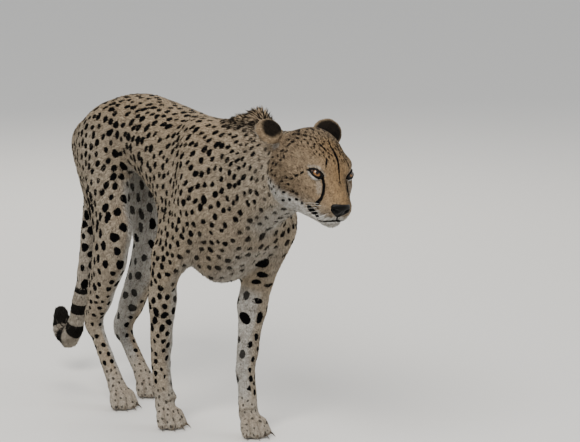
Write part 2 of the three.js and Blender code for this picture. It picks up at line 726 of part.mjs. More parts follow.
const { rest: chest, taken: torsoParts } = carve(torso, [
  ['tail_root', [[point(0, 418, 700), point(0, 1, 0.25)], [point(0, 0, 560), point(0, 0, 1)]]],
  ['tail_middle', [[point(0, 456, 600), point(0, 1, 0)], [point(0, 0, 330), point(0, 0, 1)]]],
  ['tail_end', [[point(0, 470, 300), point(0, 1, 0)], [point(0, 600, 115), point(0, -1, 0.35)]]],
  ['tail_tip', [[point(0, 470, 100), point(0, 1, 0)]], COAT_DARK],
  ['rump', [[point(0, 215, 0), point(0, 1, 0)]]],
  ['loin', [[point(0, 30, 0), point(0, 1, 0)]]],
  ['neck', [[point(0, -330, 640), point(0, -1, 0.35)]]],
], COAT, 0.85);
keep('chest', chest, COAT, 0.85);
const neckSolid = torsoParts.neck;

for (const [name, leg] of Object.entries(LEGS)) {
  const tag = name.replace('fore', 'fore_paw').replace('hind', 'hind_paw');
  const sole = keep(tag, pawSolids[name], COAT_PALE, 0.85);
  toes(leg).forEach((one, i) => {
    const claw = clawSolid(one.tip, one.bend);
    const clear = sole.translate([0, -GAP, -GAP * 0.3]);
    keep(`claw_${name}_${i + 1}`, claw.subtract(clear), HORN, 0.4);
  });
}

// A blunt curved claw leaving the front of a toe.
function clawSolid(tip, bend) {
  const rings = 2;
  const sides = 5;
  const positions = [];
  const triangles = [];
  const heading = Math.atan2(tip.x - bend.x, -(tip.y - bend.y));
  for (let r = 0; r <= rings; r += 1) {
    const t = r / rings;
    const reach = CLAW_LENGTH * (t - 0.12);
    const drop = -CLAW_LENGTH * 0.52 * t * t;
    const radius = CLAW_RADIUS * (1 - 0.8 * t);
    for (let s = 0; s < sides; s += 1) {
      const angle = (s / sides) * Math.PI * 2;
      const across = radius * 0.72 * Math.cos(angle);
      positions.push([
        tip.x + Math.sin(heading) * (10 + reach) + Math.cos(heading) * across,
        tip.y - Math.cos(heading) * (10 + reach) + Math.sin(heading) * across,
        tip.z + 1.2 + drop + radius * 1.15 * Math.sin(angle),
      ]);
    }
  }
  for (let r = 0; r < rings; r += 1) {
    for (let s = 0; s < sides; s += 1) {
      const a = r * sides + s;
      const b = r * sides + ((s + 1) % sides);
      triangles.push([a, b, b + sides], [a, b + sides, a + sides]);
    }
  }
  for (let s = 1; s + 1 < sides; s += 1) {
    triangles.push([0, s + 1, s]);
    triangles.push([rings * sides, rings * sides + s, rings * sides + s + 1]);
  }
  return solid({ positions, triangles });
}

// ------------------------------------------------------------------ head solid and its cuts
const headLow = [-120, HEAD_PLACE[1] - 135, HEAD_PLACE[2] - 190];
const headHigh = [120, HEAD_PLACE[1] + 205, HEAD_PLACE[2] + 130];
let headSolid = solid(settle(thin(
  polygonise(body, headLow, headHigh, HEAD_CELL), HEAD_TRIANGLES), body, 2));
headSolid = headSolid.intersect(region([neckPlane], 0));
const eyeSolids = {};
for (const side of [-1, 1]) {
  const centre = onHead(side * 37.5, -6, 2);
  const ball = (radius) => {
    const geometry = new THREE.IcosahedronGeometry(radius, 2);
    geometry.translate(centre.x, centre.y, centre.z);
    return fromGeometry(geometry);
  };
  eyeSolids[side] = ball(EYE_RADIUS);
  headSolid = headSolid.subtract(ball(EYE_RADIUS + GAP * 1.4));
}
const axis = (x, y, z) => point(x, y, z).applyQuaternion(headTurn);
const cutHead = carve(headSolid, [
  ['nose', [
    [onHead(0, -72, -42), axis(0, -1, 0.1)], [onHead(0, 0, -58), axis(0, 0, 1)],
    [onHead(-23, 0, 0), axis(1, 0, 0)], [onHead(23, 0, 0), axis(-1, 0, 0)],
    [onHead(0, 0, -26), axis(0, 0, -1)],
  ], NOSE],
  ['lower_jaw', [
    [onHead(0, -60, -80), axis(0, 0.1, -1)], [onHead(0, 10, 0), axis(0, -1, 0)],
  ], COAT_PALE],
], COAT, 0.85);
const head = keep('head', cutHead.rest, COAT, 0.85);
for (const [side, tag] of [[-1, 'right'], [1, 'left']]) {
  keep(`eye_${tag}`, eyeSolids[side], EYE, 0.1);
  const shape = earShape(side);
  const centre = EARS[side].root.clone().addScaledVector(EARS[side].reach, 12).applyMatrix4(headMatrix);
  const rough = polygonise(shape, [centre.x - 62, centre.y - 62, centre.z - 62],
    [centre.x + 62, centre.y + 62, centre.z + 62], EAR_CELL);
  const ear = solid(settle(thin(rough, EAR_TRIANGLES), shape, 1));
  const reach = EARS[side].reach.clone().normalize().applyQuaternion(headTurn).multiplyScalar(GAP * 1.4);
  const clear = headSolid.translate([reach.x, reach.y, reach.z]);
  keep(`ear_${tag}`, ear.subtract(clear).subtract(neckSolid), COAT_DARK, 0.8);
}

// ------------------------------------------------------------------ middle of the box onto the origin
const box = new THREE.Box3().setFromObject(group);
const middle = box.getCenter(point(0, 0, 0));
for (const node of group.children) node.geometry.translate(-middle.x, -middle.y, -box.min.z);

export default group;
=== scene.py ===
import math
import bpy
import numpy as np
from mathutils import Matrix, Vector
from mathutils.bvhtree import BVHTree
from mathutils.kdtree import KDTree


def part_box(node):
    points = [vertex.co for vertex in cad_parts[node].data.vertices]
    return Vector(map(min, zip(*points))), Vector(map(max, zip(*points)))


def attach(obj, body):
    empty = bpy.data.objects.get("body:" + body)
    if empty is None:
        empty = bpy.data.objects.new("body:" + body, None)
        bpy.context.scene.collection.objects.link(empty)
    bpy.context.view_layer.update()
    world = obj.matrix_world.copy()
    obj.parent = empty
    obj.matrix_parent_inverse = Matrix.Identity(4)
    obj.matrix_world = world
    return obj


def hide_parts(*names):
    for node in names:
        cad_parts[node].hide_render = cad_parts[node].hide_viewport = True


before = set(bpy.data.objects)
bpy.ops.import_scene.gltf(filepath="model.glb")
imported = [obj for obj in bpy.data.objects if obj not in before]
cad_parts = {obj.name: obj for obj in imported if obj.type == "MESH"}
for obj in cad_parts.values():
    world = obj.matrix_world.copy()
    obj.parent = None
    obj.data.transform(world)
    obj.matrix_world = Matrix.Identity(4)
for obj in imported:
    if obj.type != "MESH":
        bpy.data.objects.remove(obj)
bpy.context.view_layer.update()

# A walking cheetah with its head low.  Metres, +Z up; it faces -Y and its right side is -X.
SEED = 20
VOXEL = 0.0034            # size of the first even skin mesh
BODY_EDGE_SHARE = 0.26    # how much of the even mesh is kept away from the face and feet
rng = np.random.default_rng(SEED)


# ------ small helpers
def unit(v):
    return v / np.maximum(np.linalg.norm(v, axis=-1, keepdims=True), 1e-12)


def length(v):
    return np.linalg.norm(v, axis=-1)


def dot(a, b):
    return (a * b).sum(-1)


def flatten(v, normal):
    """The part of each direction that lies along the surface."""
    return v - normal * (v * normal).sum(-1, keepdims=True)


def ramp(value, low, high):
    """0 below low, 1 above high, soft between."""
    t = np.clip((value - low) / (high - low), 0.0, 1.0)
    return t * t * (3.0 - 2.0 * t)


def fade(value, low, high):
    """1 below low, 0 above high, soft between."""
    return ramp(-value, -high, -low)


def bell(value, width):
    return np.exp(-(value / width) ** 2)


def toward(value, target, amount):
    return value + (target - value) * amount


def fill(items, field, values, kind=np.float32):
    items.foreach_set(field, np.ascontiguousarray(values, kind).ravel())


def read(items, field, width=3, kind=np.float32):
    values = np.empty(len(items) * width, kind)
    items.foreach_get(field, values)
    return values.reshape(-1, width)


def points_of(obj):
    return read(obj.data.vertices, "co").astype(np.float64)


def normals_of(obj):
    return read(obj.data.vertices, "normal").astype(np.float64)


def move_points(obj, points):
    fill(obj.data.vertices, "co", points)
    obj.data.update()


def triangles_of(obj):
    obj.data.calc_loop_triangles()
    return read(obj.data.loop_triangles, "vertices", 3, np.int32)


def edges_of(obj):
    return read(obj.data.edges, "vertices", 2, np.int32)


def put(obj, name, values, kind="FLOAT", field="value"):
    fill(obj.data.attributes.new(name, kind, "POINT").data, field, values)


def mesh_object(name, points, faces, check=True):
    """An object made from arrays of points and of faces that all have the same number of corners."""
    corners = faces.shape[1]
    mesh = bpy.data.meshes.new(name)
    mesh.vertices.add(len(points))
    fill(mesh.vertices, "co", points)
    mesh.loops.add(faces.size)
    fill(mesh.loops, "vertex_index", faces, np.int32)
    mesh.polygons.add(len(faces))
    fill(mesh.polygons, "loop_start", np.arange(0, faces.size, corners), np.int32)
    fill(mesh.polygons, "loop_total", np.full(len(faces), corners), np.int32)
    mesh.update(calc_edges=True)
    if check:
        mesh.validate()
    mesh.shade_smooth()
    obj = bpy.data.objects.new(name, mesh)
    bpy.context.scene.collection.objects.link(obj)
    return obj


def deselect():
    for o in bpy.context.selected_objects:
        o.select_set(False)


def choose(obj):
    deselect()
    obj.select_set(True)
    bpy.context.view_layer.objects.active = obj


def edit(obj, operator, only=None, **settings):
    """An edit-mode operator on all of a piece, or on some of its points."""
    choose(obj)
    bpy.ops.object.mode_set(mode="EDIT")
    bpy.ops.mesh.select_mode(type="VERT")
    bpy.ops.mesh.select_all(action="SELECT" if only is None else "DESELECT")
    if only is not None:
        bpy.ops.object.mode_set(mode="OBJECT")
        obj.data.vertices.foreach_set("select", only)
        bpy.ops.object.mode_set(mode="EDIT")
    operator(**settings)
    bpy.ops.object.mode_set(mode="OBJECT")


def modifier(obj, kind, **settings):
    choose(obj)
    m = obj.modifiers.new(kind.lower(), kind)
    for key, value in settings.items():
        setattr(m, key, value)
    bpy.ops.object.modifier_apply(modifier=m.name)


def spread(values, pairs, steps, share):
    """Evens out values over the mesh; share is how far each point goes towards its neighbours."""
    flat = values.reshape(len(values), -1).copy()
    first, second = pairs.T
    neighbours = np.bincount(pairs.ravel(), minlength=len(flat))[:, None]
    for step in range(steps):
        rate = share(step) if callable(share) else share
        total = np.stack([np.bincount(first, column[second], len(flat))
                          + np.bincount(second, column[first], len(flat)) for column in flat.T], -1)
        flat += (total / neighbours - flat) * (rate[:, None] if np.ndim(rate) else rate)
    return flat.reshape(values.shape)


def tree_of(obj):
    return BVHTree.FromPolygons(points_of(obj).tolist(), triangles_of(obj).tolist())


def onto(tree, where):
    """The nearest place on the surface to each point, and the surface's direction there."""
    found = [tree.find_nearest(p) for p in where.tolist()]
    return np.array([f[0] for f in found]), np.array([f[1] for f in found])


def cast(tree, start_points, direction):
    """Where rays from the points first meet the surface."""
    found = [tree.ray_cast(p, direction.tolist()) for p in start_points.tolist()]
    return np.array([f[0] if f[0] is not None else (np.nan,) * 3 for f in found])


def places_tree(places):
    tree = KDTree(len(places))
    for i, p in enumerate(places.tolist()):
        tree.insert(p, i)
    tree.balance()
    return tree


def scatter(weight, count):
    """Even random places on the skin: the triangle of each, and its corners' shares."""
    total = np.cumsum(areas * weight[tris].mean(1))
    picks = (np.arange(count) + rng.random(count)) / count * total[-1]
    chosen = np.minimum(np.searchsorted(total, picks), len(tris) - 1)
    far = np.sqrt(rng.random(count))
    turn = rng.random(count)
    return chosen, np.stack([1 - far, far * (1 - turn), far * turn], -1)


def blend_corners(values, where):
    chosen, corner_share = where
    return np.einsum("nk,nkd->nd", corner_share, values[tris[chosen]])


# ------ where the parts of the body are
SIDES = {"left": 1.0, "right": -1.0}
HEAD_SIZE = 1.08
HEAD_PITCH = math.radians(20)
HEAD_ROLL = math.radians(6)
EYE_CENTRE = np.array([37.5, -6.0, 2.0])      # of the left eye, in the head's own frame
EYE_RADIUS = 0.0167
EYE_BALL = EYE_RADIUS * 1000.0 / HEAD_SIZE


def turn_towards(first, second, angle):
    """Turns by an angle from one axis towards another."""
    turn = np.eye(3)
    turn[first, first] = turn[second, second] = math.cos(angle)
    turn[second, first] = math.sin(angle)
    turn[first, second] = -math.sin(angle)
    return turn


X, Y, Z = range(3)
eyes = {side: np.mean(np.array(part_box("eye_" + side)), axis=0) for side in SIDES}
HEAD_TURN = turn_towards(Y, Z, HEAD_PITCH) @ turn_towards(Z, X, HEAD_ROLL)
HEAD_PLACE = (eyes["left"] + eyes["right"]) / 2 - HEAD_TURN @ (EYE_CENTRE / 1000.0 * [0, 1, 1]) * HEAD_SIZE
SHIFT = HEAD_PLACE - [0.0, -0.692, 0.716]    # from the drawing's own zero to the frame's


def at(x, y, z):
    """A place on the body, in mm from the drawing's own zero."""
    return np.array([x, y, z], float) / 1000.0 + SHIFT


def on_head(p):
    """Where a place in the head's own frame is: mm, x to its left, y back from between the eyes, z up."""
    return HEAD_PLACE + (np.asarray(p, float) / 1000.0 * HEAD_SIZE) @ HEAD_TURN.T


def in_head(p):
    return ((p - HEAD_PLACE) @ HEAD_TURN) / HEAD_SIZE * 1000.0


def from_head(direction):
    return direction @ HEAD_TURN.T


def ear(root, reach, facing):
    reach = unit(reach)
    facing = unit(flatten(np.array(facing), reach))
    return root, reach, facing, np.cross(reach, facing)


# each ear's root, the way it points, the way it opens and the way across it
EARS = {
    "right": ear((-65, 139, 18.0), (-0.55, 0.75, 0.36), (-0.05, 0.4, -0.9)),
    "left": ear((43, 106, 31.0), (0.4, 0.4, 0.82), (0.35, 0.7, -0.55)),
}
EAR_MIDDLE = 12


def in_ear(local, side):
    """Ear's own frame, in mm: up towards its tip, out of its opening, and across."""
    root, reach, facing, across = EARS[side]
    d = local - root
    return np.stack([d @ reach - EAR_MIDDLE, d @ facing, d @ across], -1)


def ear_distance(local, side):
    return length(in_ear(local, side))


# the eye's own frame
EYE_ACROSS = unit([24.0, 21.0, 8.0])
EYE_OUT = unit(flatten(np.array([0.475, -0.76, 0.443]), EYE_ACROSS))
EYE_UP = np.cross(EYE_OUT, EYE_ACROSS)
LID_MIDDLE = 1.2
LID_HALF = 15.2
LID_LEVEL = 0.4
UPPER_LID = 5.2
LOWER_LID = 6.8


def in_eye(local, side):
    """The eye's own frame, in mm: out to its outer corner, up, and out of the head."""
    d = local * [SIDES[side], 1, 1] - EYE_CENTRE
    return np.stack([d @ EYE_ACROSS, d @ EYE_UP, d @ EYE_OUT], -1)


def from_eye(e, side):
    d = e[..., 0:1] * EYE_ACROSS + e[..., 1:2] * EYE_UP + e[..., 2:3] * EYE_OUT
    return (d + EYE_CENTRE) * [SIDES[side], 1, 1]


def lids(across):
    """Height of the upper and the lower lid's edge at a place across the eye, in mm."""
    t = np.clip((across - LID_MIDDLE) / LID_HALF, -1.0, 1.0)
    bow = (1 - t * t) ** 0.8
    return LID_LEVEL + UPPER_LID * bow * (1 + 0.12 * t), LID_LEVEL - LOWER_LID * bow * (1 - 0.25 * t)


def outside_lids(e):
    """Distance outside the eye's opening in mm, negative inside it."""
    upper, lower = lids(e[..., 0])
    up_down = np.maximum(e[..., 1] - upper, lower - e[..., 1])
    end = np.abs(e[..., 0] - LID_MIDDLE) - LID_HALF
    return np.where(end > 0, np.hypot(end, e[..., 1] - LID_LEVEL), up_down)


def around_eyes(local, reach, behind):
    """For each eye: the points in its frame, which are near it, and how far outside the lids they are."""
    for side in SIDES:
        e = in_eye(local, side)
        near = (length(e) < reach) & (e[:, 2] > -behind)
        yield e, near, outside_lids(e)


# ------ bones, which give the lie of the coat
def near_segment(p, a, b):
    """How far along from a to b each point is, from 0 to 1, and its distance from that line."""
    d = b - a
    t = np.clip((p - a) @ d / (d @ d), 0.0, 1.0)
    return t, length(p - (a + t[:, None] * d))


JOINTS = {
    "left": {"blade": at(50, -225, 738), "shoulder": at(93, -312, 552), "elbow": at(94, -205, 418),
             "wrist": at(64, -200, 160), "knuckle": at(65, -214, 45), "toes": at(65, -262, 14),
             "hip": at(72, 306, 655), "stifle": at(98, 300, 418), "hock": at(58, 428, 160),
             "hind_knuckle": at(60, 318, 45), "hind_toes": at(60, 270, 14)},
    "right": {"blade": at(-50, -165, 744), "shoulder": at(-88, -240, 600), "elbow": at(-93, -72, 430),
              "wrist": at(-70, -14, 162), "knuckle": at(-66, -26, 45), "toes": at(-66, -74, 14),
              "hip": at(-74, 302, 660), "stifle": at(-100, 152, 455), "hock": at(-76, 333, 205),
              "hind_knuckle": at(-64, 228, 45), "hind_toes": at(-64, 180, 14)},
}
TAIL = [at(0, 350, 708), at(0, 430, 684), at(2, 464, 620), at(4, 489, 520), at(5, 510, 410), at(5, 538, 300),
        at(3, 566, 206), at(0, 588, 132), at(-2, 618, 102), at(-4, 648, 122), at(-5, 672, 190)]

# piece of coat, start, end, half thickness in metres, lie of the coat (None is along the bone)
BONES = [
    ("face", on_head([0, -66, -48]), on_head([0, -12, -30]), 0.042, None),
    ("crown", on_head([0, 12, -12]), on_head([0, 100, -8]), 0.062, None),
    ("neck", on_head([0, 135, -15]), at(0, -330, 690), 0.080, (0, 1, -0.3)),
    ("breast", on_head([0, 120, -60]), at(0, -300, 560), 0.065, (0, 0.55, -0.85)),
    ("chest", at(0, -300, 640), at(0, -60, 650), 0.118, (0, 1, -0.45)),
    ("loin", at(0, -60, 655), at(0, 150, 690), 0.112, (0, 1, -0.3)),
    ("rump", at(0, 150, 700), at(0, 370, 690), 0.085, (0, 1, -0.5)),
]
LIMBS = [
    ("shoulder", "blade", "shoulder", 0.062, (0, 0.5, -0.85)),
    ("shoulder", "shoulder", "elbow", 0.062, (0, 0.55, -0.85)),
    ("foreleg", "elbow", "wrist", 0.036, None),
    ("foreleg", "wrist", "knuckle", 0.024, None),
    ("foreleg", "knuckle", "toes", 0.026, None),
    ("thigh", "hip", "stifle", 0.075, (0, 0.35, -0.95)),
    ("hindleg", "stifle", "hock", 0.036, None),
    ("hindleg", "hock", "hind_knuckle", 0.024, None),
    ("hindleg", "hind_knuckle", "hind_toes", 0.026, None),
]
for side, joints in JOINTS.items():
    BONES += [(part + "_" + side, joints[a], joints[b], thick, lie) for part, a, b, thick, lie in LIMBS]
BONES += [("tail", a, b, 0.024, None) for a, b in zip(TAIL, TAIL[1:])]
BONE_PIECE = np.array([b[0] for b in BONES])
LEG_BONES = np.array([b[0].startswith(("foreleg", "hindleg", "thigh")) for b in BONES], float)
NOSE_TIP = on_head([0, -90, -46])


def near_bones(p):
    """The share that each bone has in each point, and the nearest bone."""
    far = np.stack([near_segment(p, a, b)[1] / thick for _, a, b, thick, _ in BONES], -1)
    # a high power leaves nearly all of a point to its nearest bones
    share = 1.0 / (far + 0.05) ** 7
    return share / share.sum(1, keepdims=True), far.argmin(1)


def lie_of_coat(p, normal, share):
    flow = np.zeros_like(p)
    for i, (part, a, b, _, lie) in enumerate(BONES):
        if part in ("face", "crown"):
            direction = unit(p - NOSE_TIP) + [0, 0.15, 0]
        else:
            direction = unit(b - a if lie is None else lie)
        flow += share[:, i:i + 1] * direction
    local = in_head(p)
    for side in EARS:
        flow = toward(flow, from_head(EARS[side][1]), bell(ear_distance(local, side), 30)[:, None])
    return unit(flatten(flow, normal))


def tail_place(p):
    """How far along the tail each point is, from 0 to 1, and how far from its middle."""
    lengths = np.array([np.linalg.norm(b - a) for a, b in zip(TAIL, TAIL[1:])])
    starts = np.concatenate([[0], np.cumsum(lengths)])
    along = np.zeros(len(p))
    best = np.full(len(p), np.inf)
    for i, (a, b) in enumerate(zip(TAIL, TAIL[1:])):
        t, d = near_segment(p, a, b)
        along = np.where(d < best, (starts[i] + t * lengths[i]) / starts[-1], along)
        best = np.minimum(best, d)
    return along, best


# the ridge of long hair over the shoulders
CREST = [at(0, -300, 800), at(0, -376, 822), at(0, -450, 790)]


def crest_distance(p):
    return np.minimum(near_segment(p, *CREST[:2])[1], near_segment(p, *CREST[1:])[1])


def shares_of(p):
    """How much each point belongs to the head, the ears, the paws and the legs, from 0 to 1."""
    local = in_head(p)
    nearest_ear = np.minimum(*[ear_distance(local, side) for side in EARS])
    return {
        "head": fade(length(local - [0, 40, -20]), 108, 150),
        "ear": fade(nearest_ear, 36, 46),
        "paw": fade(p[:, 2], 0.075, 0.165),
        "leg": fade(p[:, 2], 0.38, 0.50),
    }


def by_share(share, body, **others):
    """A value that goes from the body's to that of each other part by the part's share."""
    value = body
    for part in ("leg", "head", "ear", "paw"):
        value = value * (1 - share[part]) + others[part] * share[part]
    return value


# ------ the skin, one closed mesh
flesh = [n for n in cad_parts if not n.startswith(("claw_", "eye_"))]
shells = [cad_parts[n] for n in flesh + ["eye_left", "eye_right"]]
starts = np.cumsum([0] + [len(o.data.vertices) for o in shells])
skin = mesh_object("skin", np.concatenate([points_of(o) for o in shells]),
                   np.concatenate([triangles_of(o) + start for o, start in zip(shells, starts)]))
edit(skin, bpy.ops.mesh.remove_doubles, threshold=0.00002)
modifier(skin, "DISPLACE", strength=0.0005, mid_level=0.0)
modifier(skin, "REMESH", mode="VOXEL", voxel_size=VOXEL, adaptivity=0.0)

# the solids' edges are smoothed away, over a reach in mm that suits each part
points = points_of(skin)
pairs = edges_of(skin)
share = shares_of(points)
reach = by_share(share, body=13.0, leg=7.5, head=4.2, ear=2.2, paw=3.0)
steps_wanted = (reach / 1000) ** 2 / (0.25 * VOXEL ** 2)
points = spread(points, pairs, int(steps_wanted.max()) + 1,
                lambda step: np.clip(steps_wanted - step, 0, 1) * 0.5)

# smoothing thins the ears' edges, so they are made fuller again
local = in_head(points)
for side, (_, reach, _, across) in EARS.items():
    e = in_ear(local, side)
    near = fade(length(e), 38, 48)
    taller = np.maximum(e[:, 0], -8) * 0.13 * near
    wider = e[:, 2] * 0.12 * near
    local = local + taller[:, None] * reach + wider[:, None] * across
points = on_head(local)
move_points(skin, points)

# the coat's depth in mm, by which the skin lies inside the finished outline
depth = by_share(share, body=4.6, leg=2.6, head=1.6, ear=0.5, paw=1.2)
depth += 10.0 * bell(crest_distance(points), 0.040)
points = points - normals_of(skin) * depth[:, None] / 1000.0
points = spread(points, pairs, 4, 0.3 * (1 - share["head"]))
move_points(skin, points)

# fewer faces away from the head and feet, more on the face
FACE_MIDDLE = np.array([0, -18, -22])
FACE_RADIUS = 84
coarse = np.maximum.reduce([share["head"], share["ear"], share["paw"]]) < 0.6
group = skin.vertex_groups.new(name="body")
group.add([int(i) for i in np.nonzero(coarse)[0]], 1.0, "REPLACE")
modifier(skin, "DECIMATE", ratio=1 - coarse.mean() * (1 - BODY_EDGE_SHARE), vertex_group="body")
skin.vertex_groups.clear()
on_face = length(in_head(points_of(skin)) - FACE_MIDDLE) < FACE_RADIUS
edit(skin, bpy.ops.mesh.subdivide, only=on_face, number_cuts=1)
edit(skin, bpy.ops.mesh.quads_convert_to_tris)
points = points_of(skin)
face_share = fade(length(in_head(points) - FACE_MIDDLE), FACE_RADIUS - 4, FACE_RADIUS + 8)
points = spread(points, edges_of(skin), 6, 0.4 * face_share)
move_points(skin, points)

# ------ eyelids
local = in_head(points)
normal = normals_of(skin)
for side, s in SIDES.items():
    e = in_eye(local, side)
    far = length(e)
    out = outside_lids(e)
    front = ramp(e[:, 2], -2, 3)
    raised = np.clip(EYE_BALL + 1.3 - far, 0, 6) * front * (1 - ramp(out, 5, 11))
    crease = 0.9 * bell(out - 5.0, 1.6) * (e[:, 1] > 2) * front * (far < 30)
    local = local + (local - EYE_CENTRE * [s, 1, 1]) * ((raised - crease) / np.maximum(far, 1))[:, None]
points = on_head(local)
move_points(skin, points)
smooth_tree = tree_of(skin)

RIM_HALF = 44             # points on the edge of a lid
BEFORE_EYE = 60.0
t = np.cos(np.linspace(0, math.pi, RIM_HALF, endpoint=False))
across = np.concatenate([LID_MIDDLE + LID_HALF * t, LID_MIDDLE - LID_HALF * t])
height = np.where(np.arange(2 * RIM_HALF) < RIM_HALF, *lids(across))
edge = np.stack([across, height, np.full(2 * RIM_HALF, BEFORE_EYE)], -1)
rims = {}
for side, s in SIDES.items():
    hits = cast(smooth_tree, on_head(from_eye(edge, side)), from_head(-EYE_OUT * [s, 1, 1]))
    for _ in range(3):
        hits = (hits + np.roll(hits, 1, 0) + np.roll(hits, -1, 0)) / 3
    rims[side] = hits

# ------ lines and grooves of the face
# lines on the face, in the head's frame in mm with half their width; both sides have the paired ones
FACE_LINES = {
    "tear": [(29, -19, 1, 3.4), (27, -30, -12, 3.1), (26, -34, -29, 3.3), (29, -37, -41, 3.6),
             (36, -38, -52, 5.4)],
    "corner": [(29, -38, -78, 7.2), (34, -28, -75, 9.2), (39, -19, -71, 7.2)],
    "lip": [(30, -44, -66, 1.0), (33, -34, -62, 1.2), (37, -24, -60, 1.0)],
    "brow": [(28, -12, 43, 1.2), (28, -17, 33, 2.2), (28, -20, 23, 1.0)],
    "outer": [(51, -2, 9, 2.2), (55, 5, 5, 1.8)],
    "cheek_a": [(59, 10, -3, 2.4), (61, 14, -8, 2.4)],
    "cheek_b": [(64, 19, -14, 2.6), (66, 23, -19, 2.6)],
    "cheek_c": [(68, 27, -26, 2.4), (69, 30, -31, 2.4)],
    "temple": [(26, -2, 54, 1.6), (30, 8, 58, 2.0), (33, 20, 60, 1.2)],
}
MIDDLE_LINES = {
    "forehead": [(0, 34, 60, 1.2), (0, 10, 53, 2.6), (0, -8, 42, 3.0), (0, -26, 25, 2.4), (0, -48, 0, 1.3)],
    "philtrum": [(0, -78, -60, 2.2), (0, -74, -68, 2.2), (0, -72, -76, 1.8)],
}
MOUTH = [(0, -72, -75, 3.0), (10, -70, -77, 3.7), (20, -63, -81, 3.7), (30, -55, -86, 3.2),
         (31, -42, -83, 2.2), (37, -26, -76, 1.6), (41, -14, -71, 1.2)]
PALE_STRIP = [(37, -20, -9, 3.0), (34, -27, -20, 3.4), (33, -31, -31, 2.6)]
LAID_FROM = unit([-0.551, -0.738, 0.388])    # in front of the right cheek and a little above
LAID_DISTANCE = 90


def on_skin(line, mirror):
    """The line's points every mm, on the skin, with their half widths, in the head's frame."""
    line = np.array(line, float)
    pieces = []
    for a, b in zip(line, line[1:]):
        count = max(2, int(np.linalg.norm((b - a)[:3])) + 1)
        pieces.append(a + (b - a) * np.linspace(0, 1, count, endpoint=False)[:, None])
    line = np.concatenate(pieces + [line[-1:]])
    if mirror:
        # laid straight on to the right cheek from in front of it, then carried over
        right = line[:, :3] * [-1, 1, 1]
        found = in_head(cast(smooth_tree, on_head(right + LAID_DISTANCE * LAID_FROM), from_head(-LAID_FROM)))
        line[:, :3] = np.where(np.isnan(found), right, found) * [-mirror, 1, 1]
    place, _ = onto(smooth_tree, on_head(line[:, :3]))
    return np.concatenate([in_head(place), line[:, 3:]], 1)


def on_both(lines):
    return [on_skin(line, mirror) for line in lines for mirror in (1, -1)]


dark_lines = on_both(FACE_LINES.values()) + [on_skin(line, 0) for line in MIDDLE_LINES.values()]
mouth_lines = on_both([MOUTH])
pale_lines = on_both([PALE_STRIP])
FAR_OUTSIDE = -50.0


def near_lines(local, lines):
    """How far inside the nearest line each point is, in mm, negative outside."""
    best = np.full(len(local), FAR_OUTSIDE)
    close = np.nonzero(length(local - [0, 0, -10]) < 125)[0]
    for line in lines:
        d = length(local[close, None, :] - line[None, :, :3])
        best[close] = np.maximum(best[close], (line[None, :, 3] - d).max(1))
    return best


NOSE_HALF = 25.0
NOSE_LOW = -68.0
NOSE_HIGH = -30.5


def nose_edge(across):
    """Lower and upper edge of the bare nose at a place across it, in mm."""
    x = np.abs(across)
    t = x / NOSE_HALF
    low = NOSE_LOW + np.maximum(x - 2.2, 0) * 0.70 + 4.0 * t ** 8
    return low, NOSE_HIGH - 5.0 * t ** 2 - 6.0 * t ** 7


def inside_nose(local):
    low, high = nose_edge(local[:, 0])
    d = np.minimum(np.minimum(local[:, 2] - low, high - local[:, 2]), NOSE_HALF - np.abs(local[:, 0]))
    return np.where(local[:, 1] < -55, d, FAR_OUTSIDE)


def nostril(local):
    """How deep in a nostril a point is, from 0 to 1: a round hole with a slit out to the side."""
    x = np.abs(local[:, 0])
    z = local[:, 2]
    hole = bell(np.hypot((x - 11.5) / 1.15, z + 49), 4.0)
    beyond = np.clip(x - 19, 0, 9) + np.clip(12 - x, 0, 9)
    slit = bell(np.hypot(beyond, z + 47.5 - (x - 12) * 0.25), 2.0)
    return np.clip(hole + slit, 0, 1) * (local[:, 1] < -52)


def groove(local):
    """The groove down the middle, from between the nostrils to the lip."""
    x, y, z = local.T
    return bell(x, 1.3) * fade(z, -50, -44) * ramp(z, -80, -76) * (y < -55)


# ------ toes
# four to a paw, the middle pair longest: each paw's place and width, each toe's place across, reach and turn
PAWS = [(65, -214, 1.0), (-66, -26, 1.0), (60, 318, 0.92), (-64, 228, 0.92)]
TOES = [(-25, 38, -4), (-9, 51, -1.5), (9, 51, 1.5), (25, 38, 4)]


def toe_push(p, n):
    """How far in the skin goes at each point, in mm, so that the toes stand apart."""
    push = np.zeros(len(p))
    low = np.nonzero(p[:, 2] < 0.075)[0]
    q = p[low]
    for across, along, width in PAWS:
        toe_far = []
        knuckles = np.zeros(len(q))
        for place, reach, turn in TOES:
            root = at(across + place * 0.62 * width, along - 8, 42)
            bend = at(across + place * 0.9 * width, along - reach * 0.66, 33)
            tip = at(across + (place + turn) * width, along - reach, 11)
            toe_far.append(1000 * np.minimum(near_segment(q, root, bend)[1], near_segment(q, bend, tip)[1]))
            knuckles = np.maximum(knuckles, bell(1000 * length(q - bend), 15))
        toe_far = np.sort(np.stack(toe_far), 0)
        forward = ramp((at(0, along, 0)[1] - q[:, 1]) * 1000, 2, 20)
        here = (toe_far[0] < 30) * forward * ramp(n[low, 2], -0.55, -0.1)
        between = bell(toe_far[1] - toe_far[0], 4.5)
        push[low] += here * (4.6 * between - (1.4 + 1.6 * knuckles) * (1 - between))
    return push


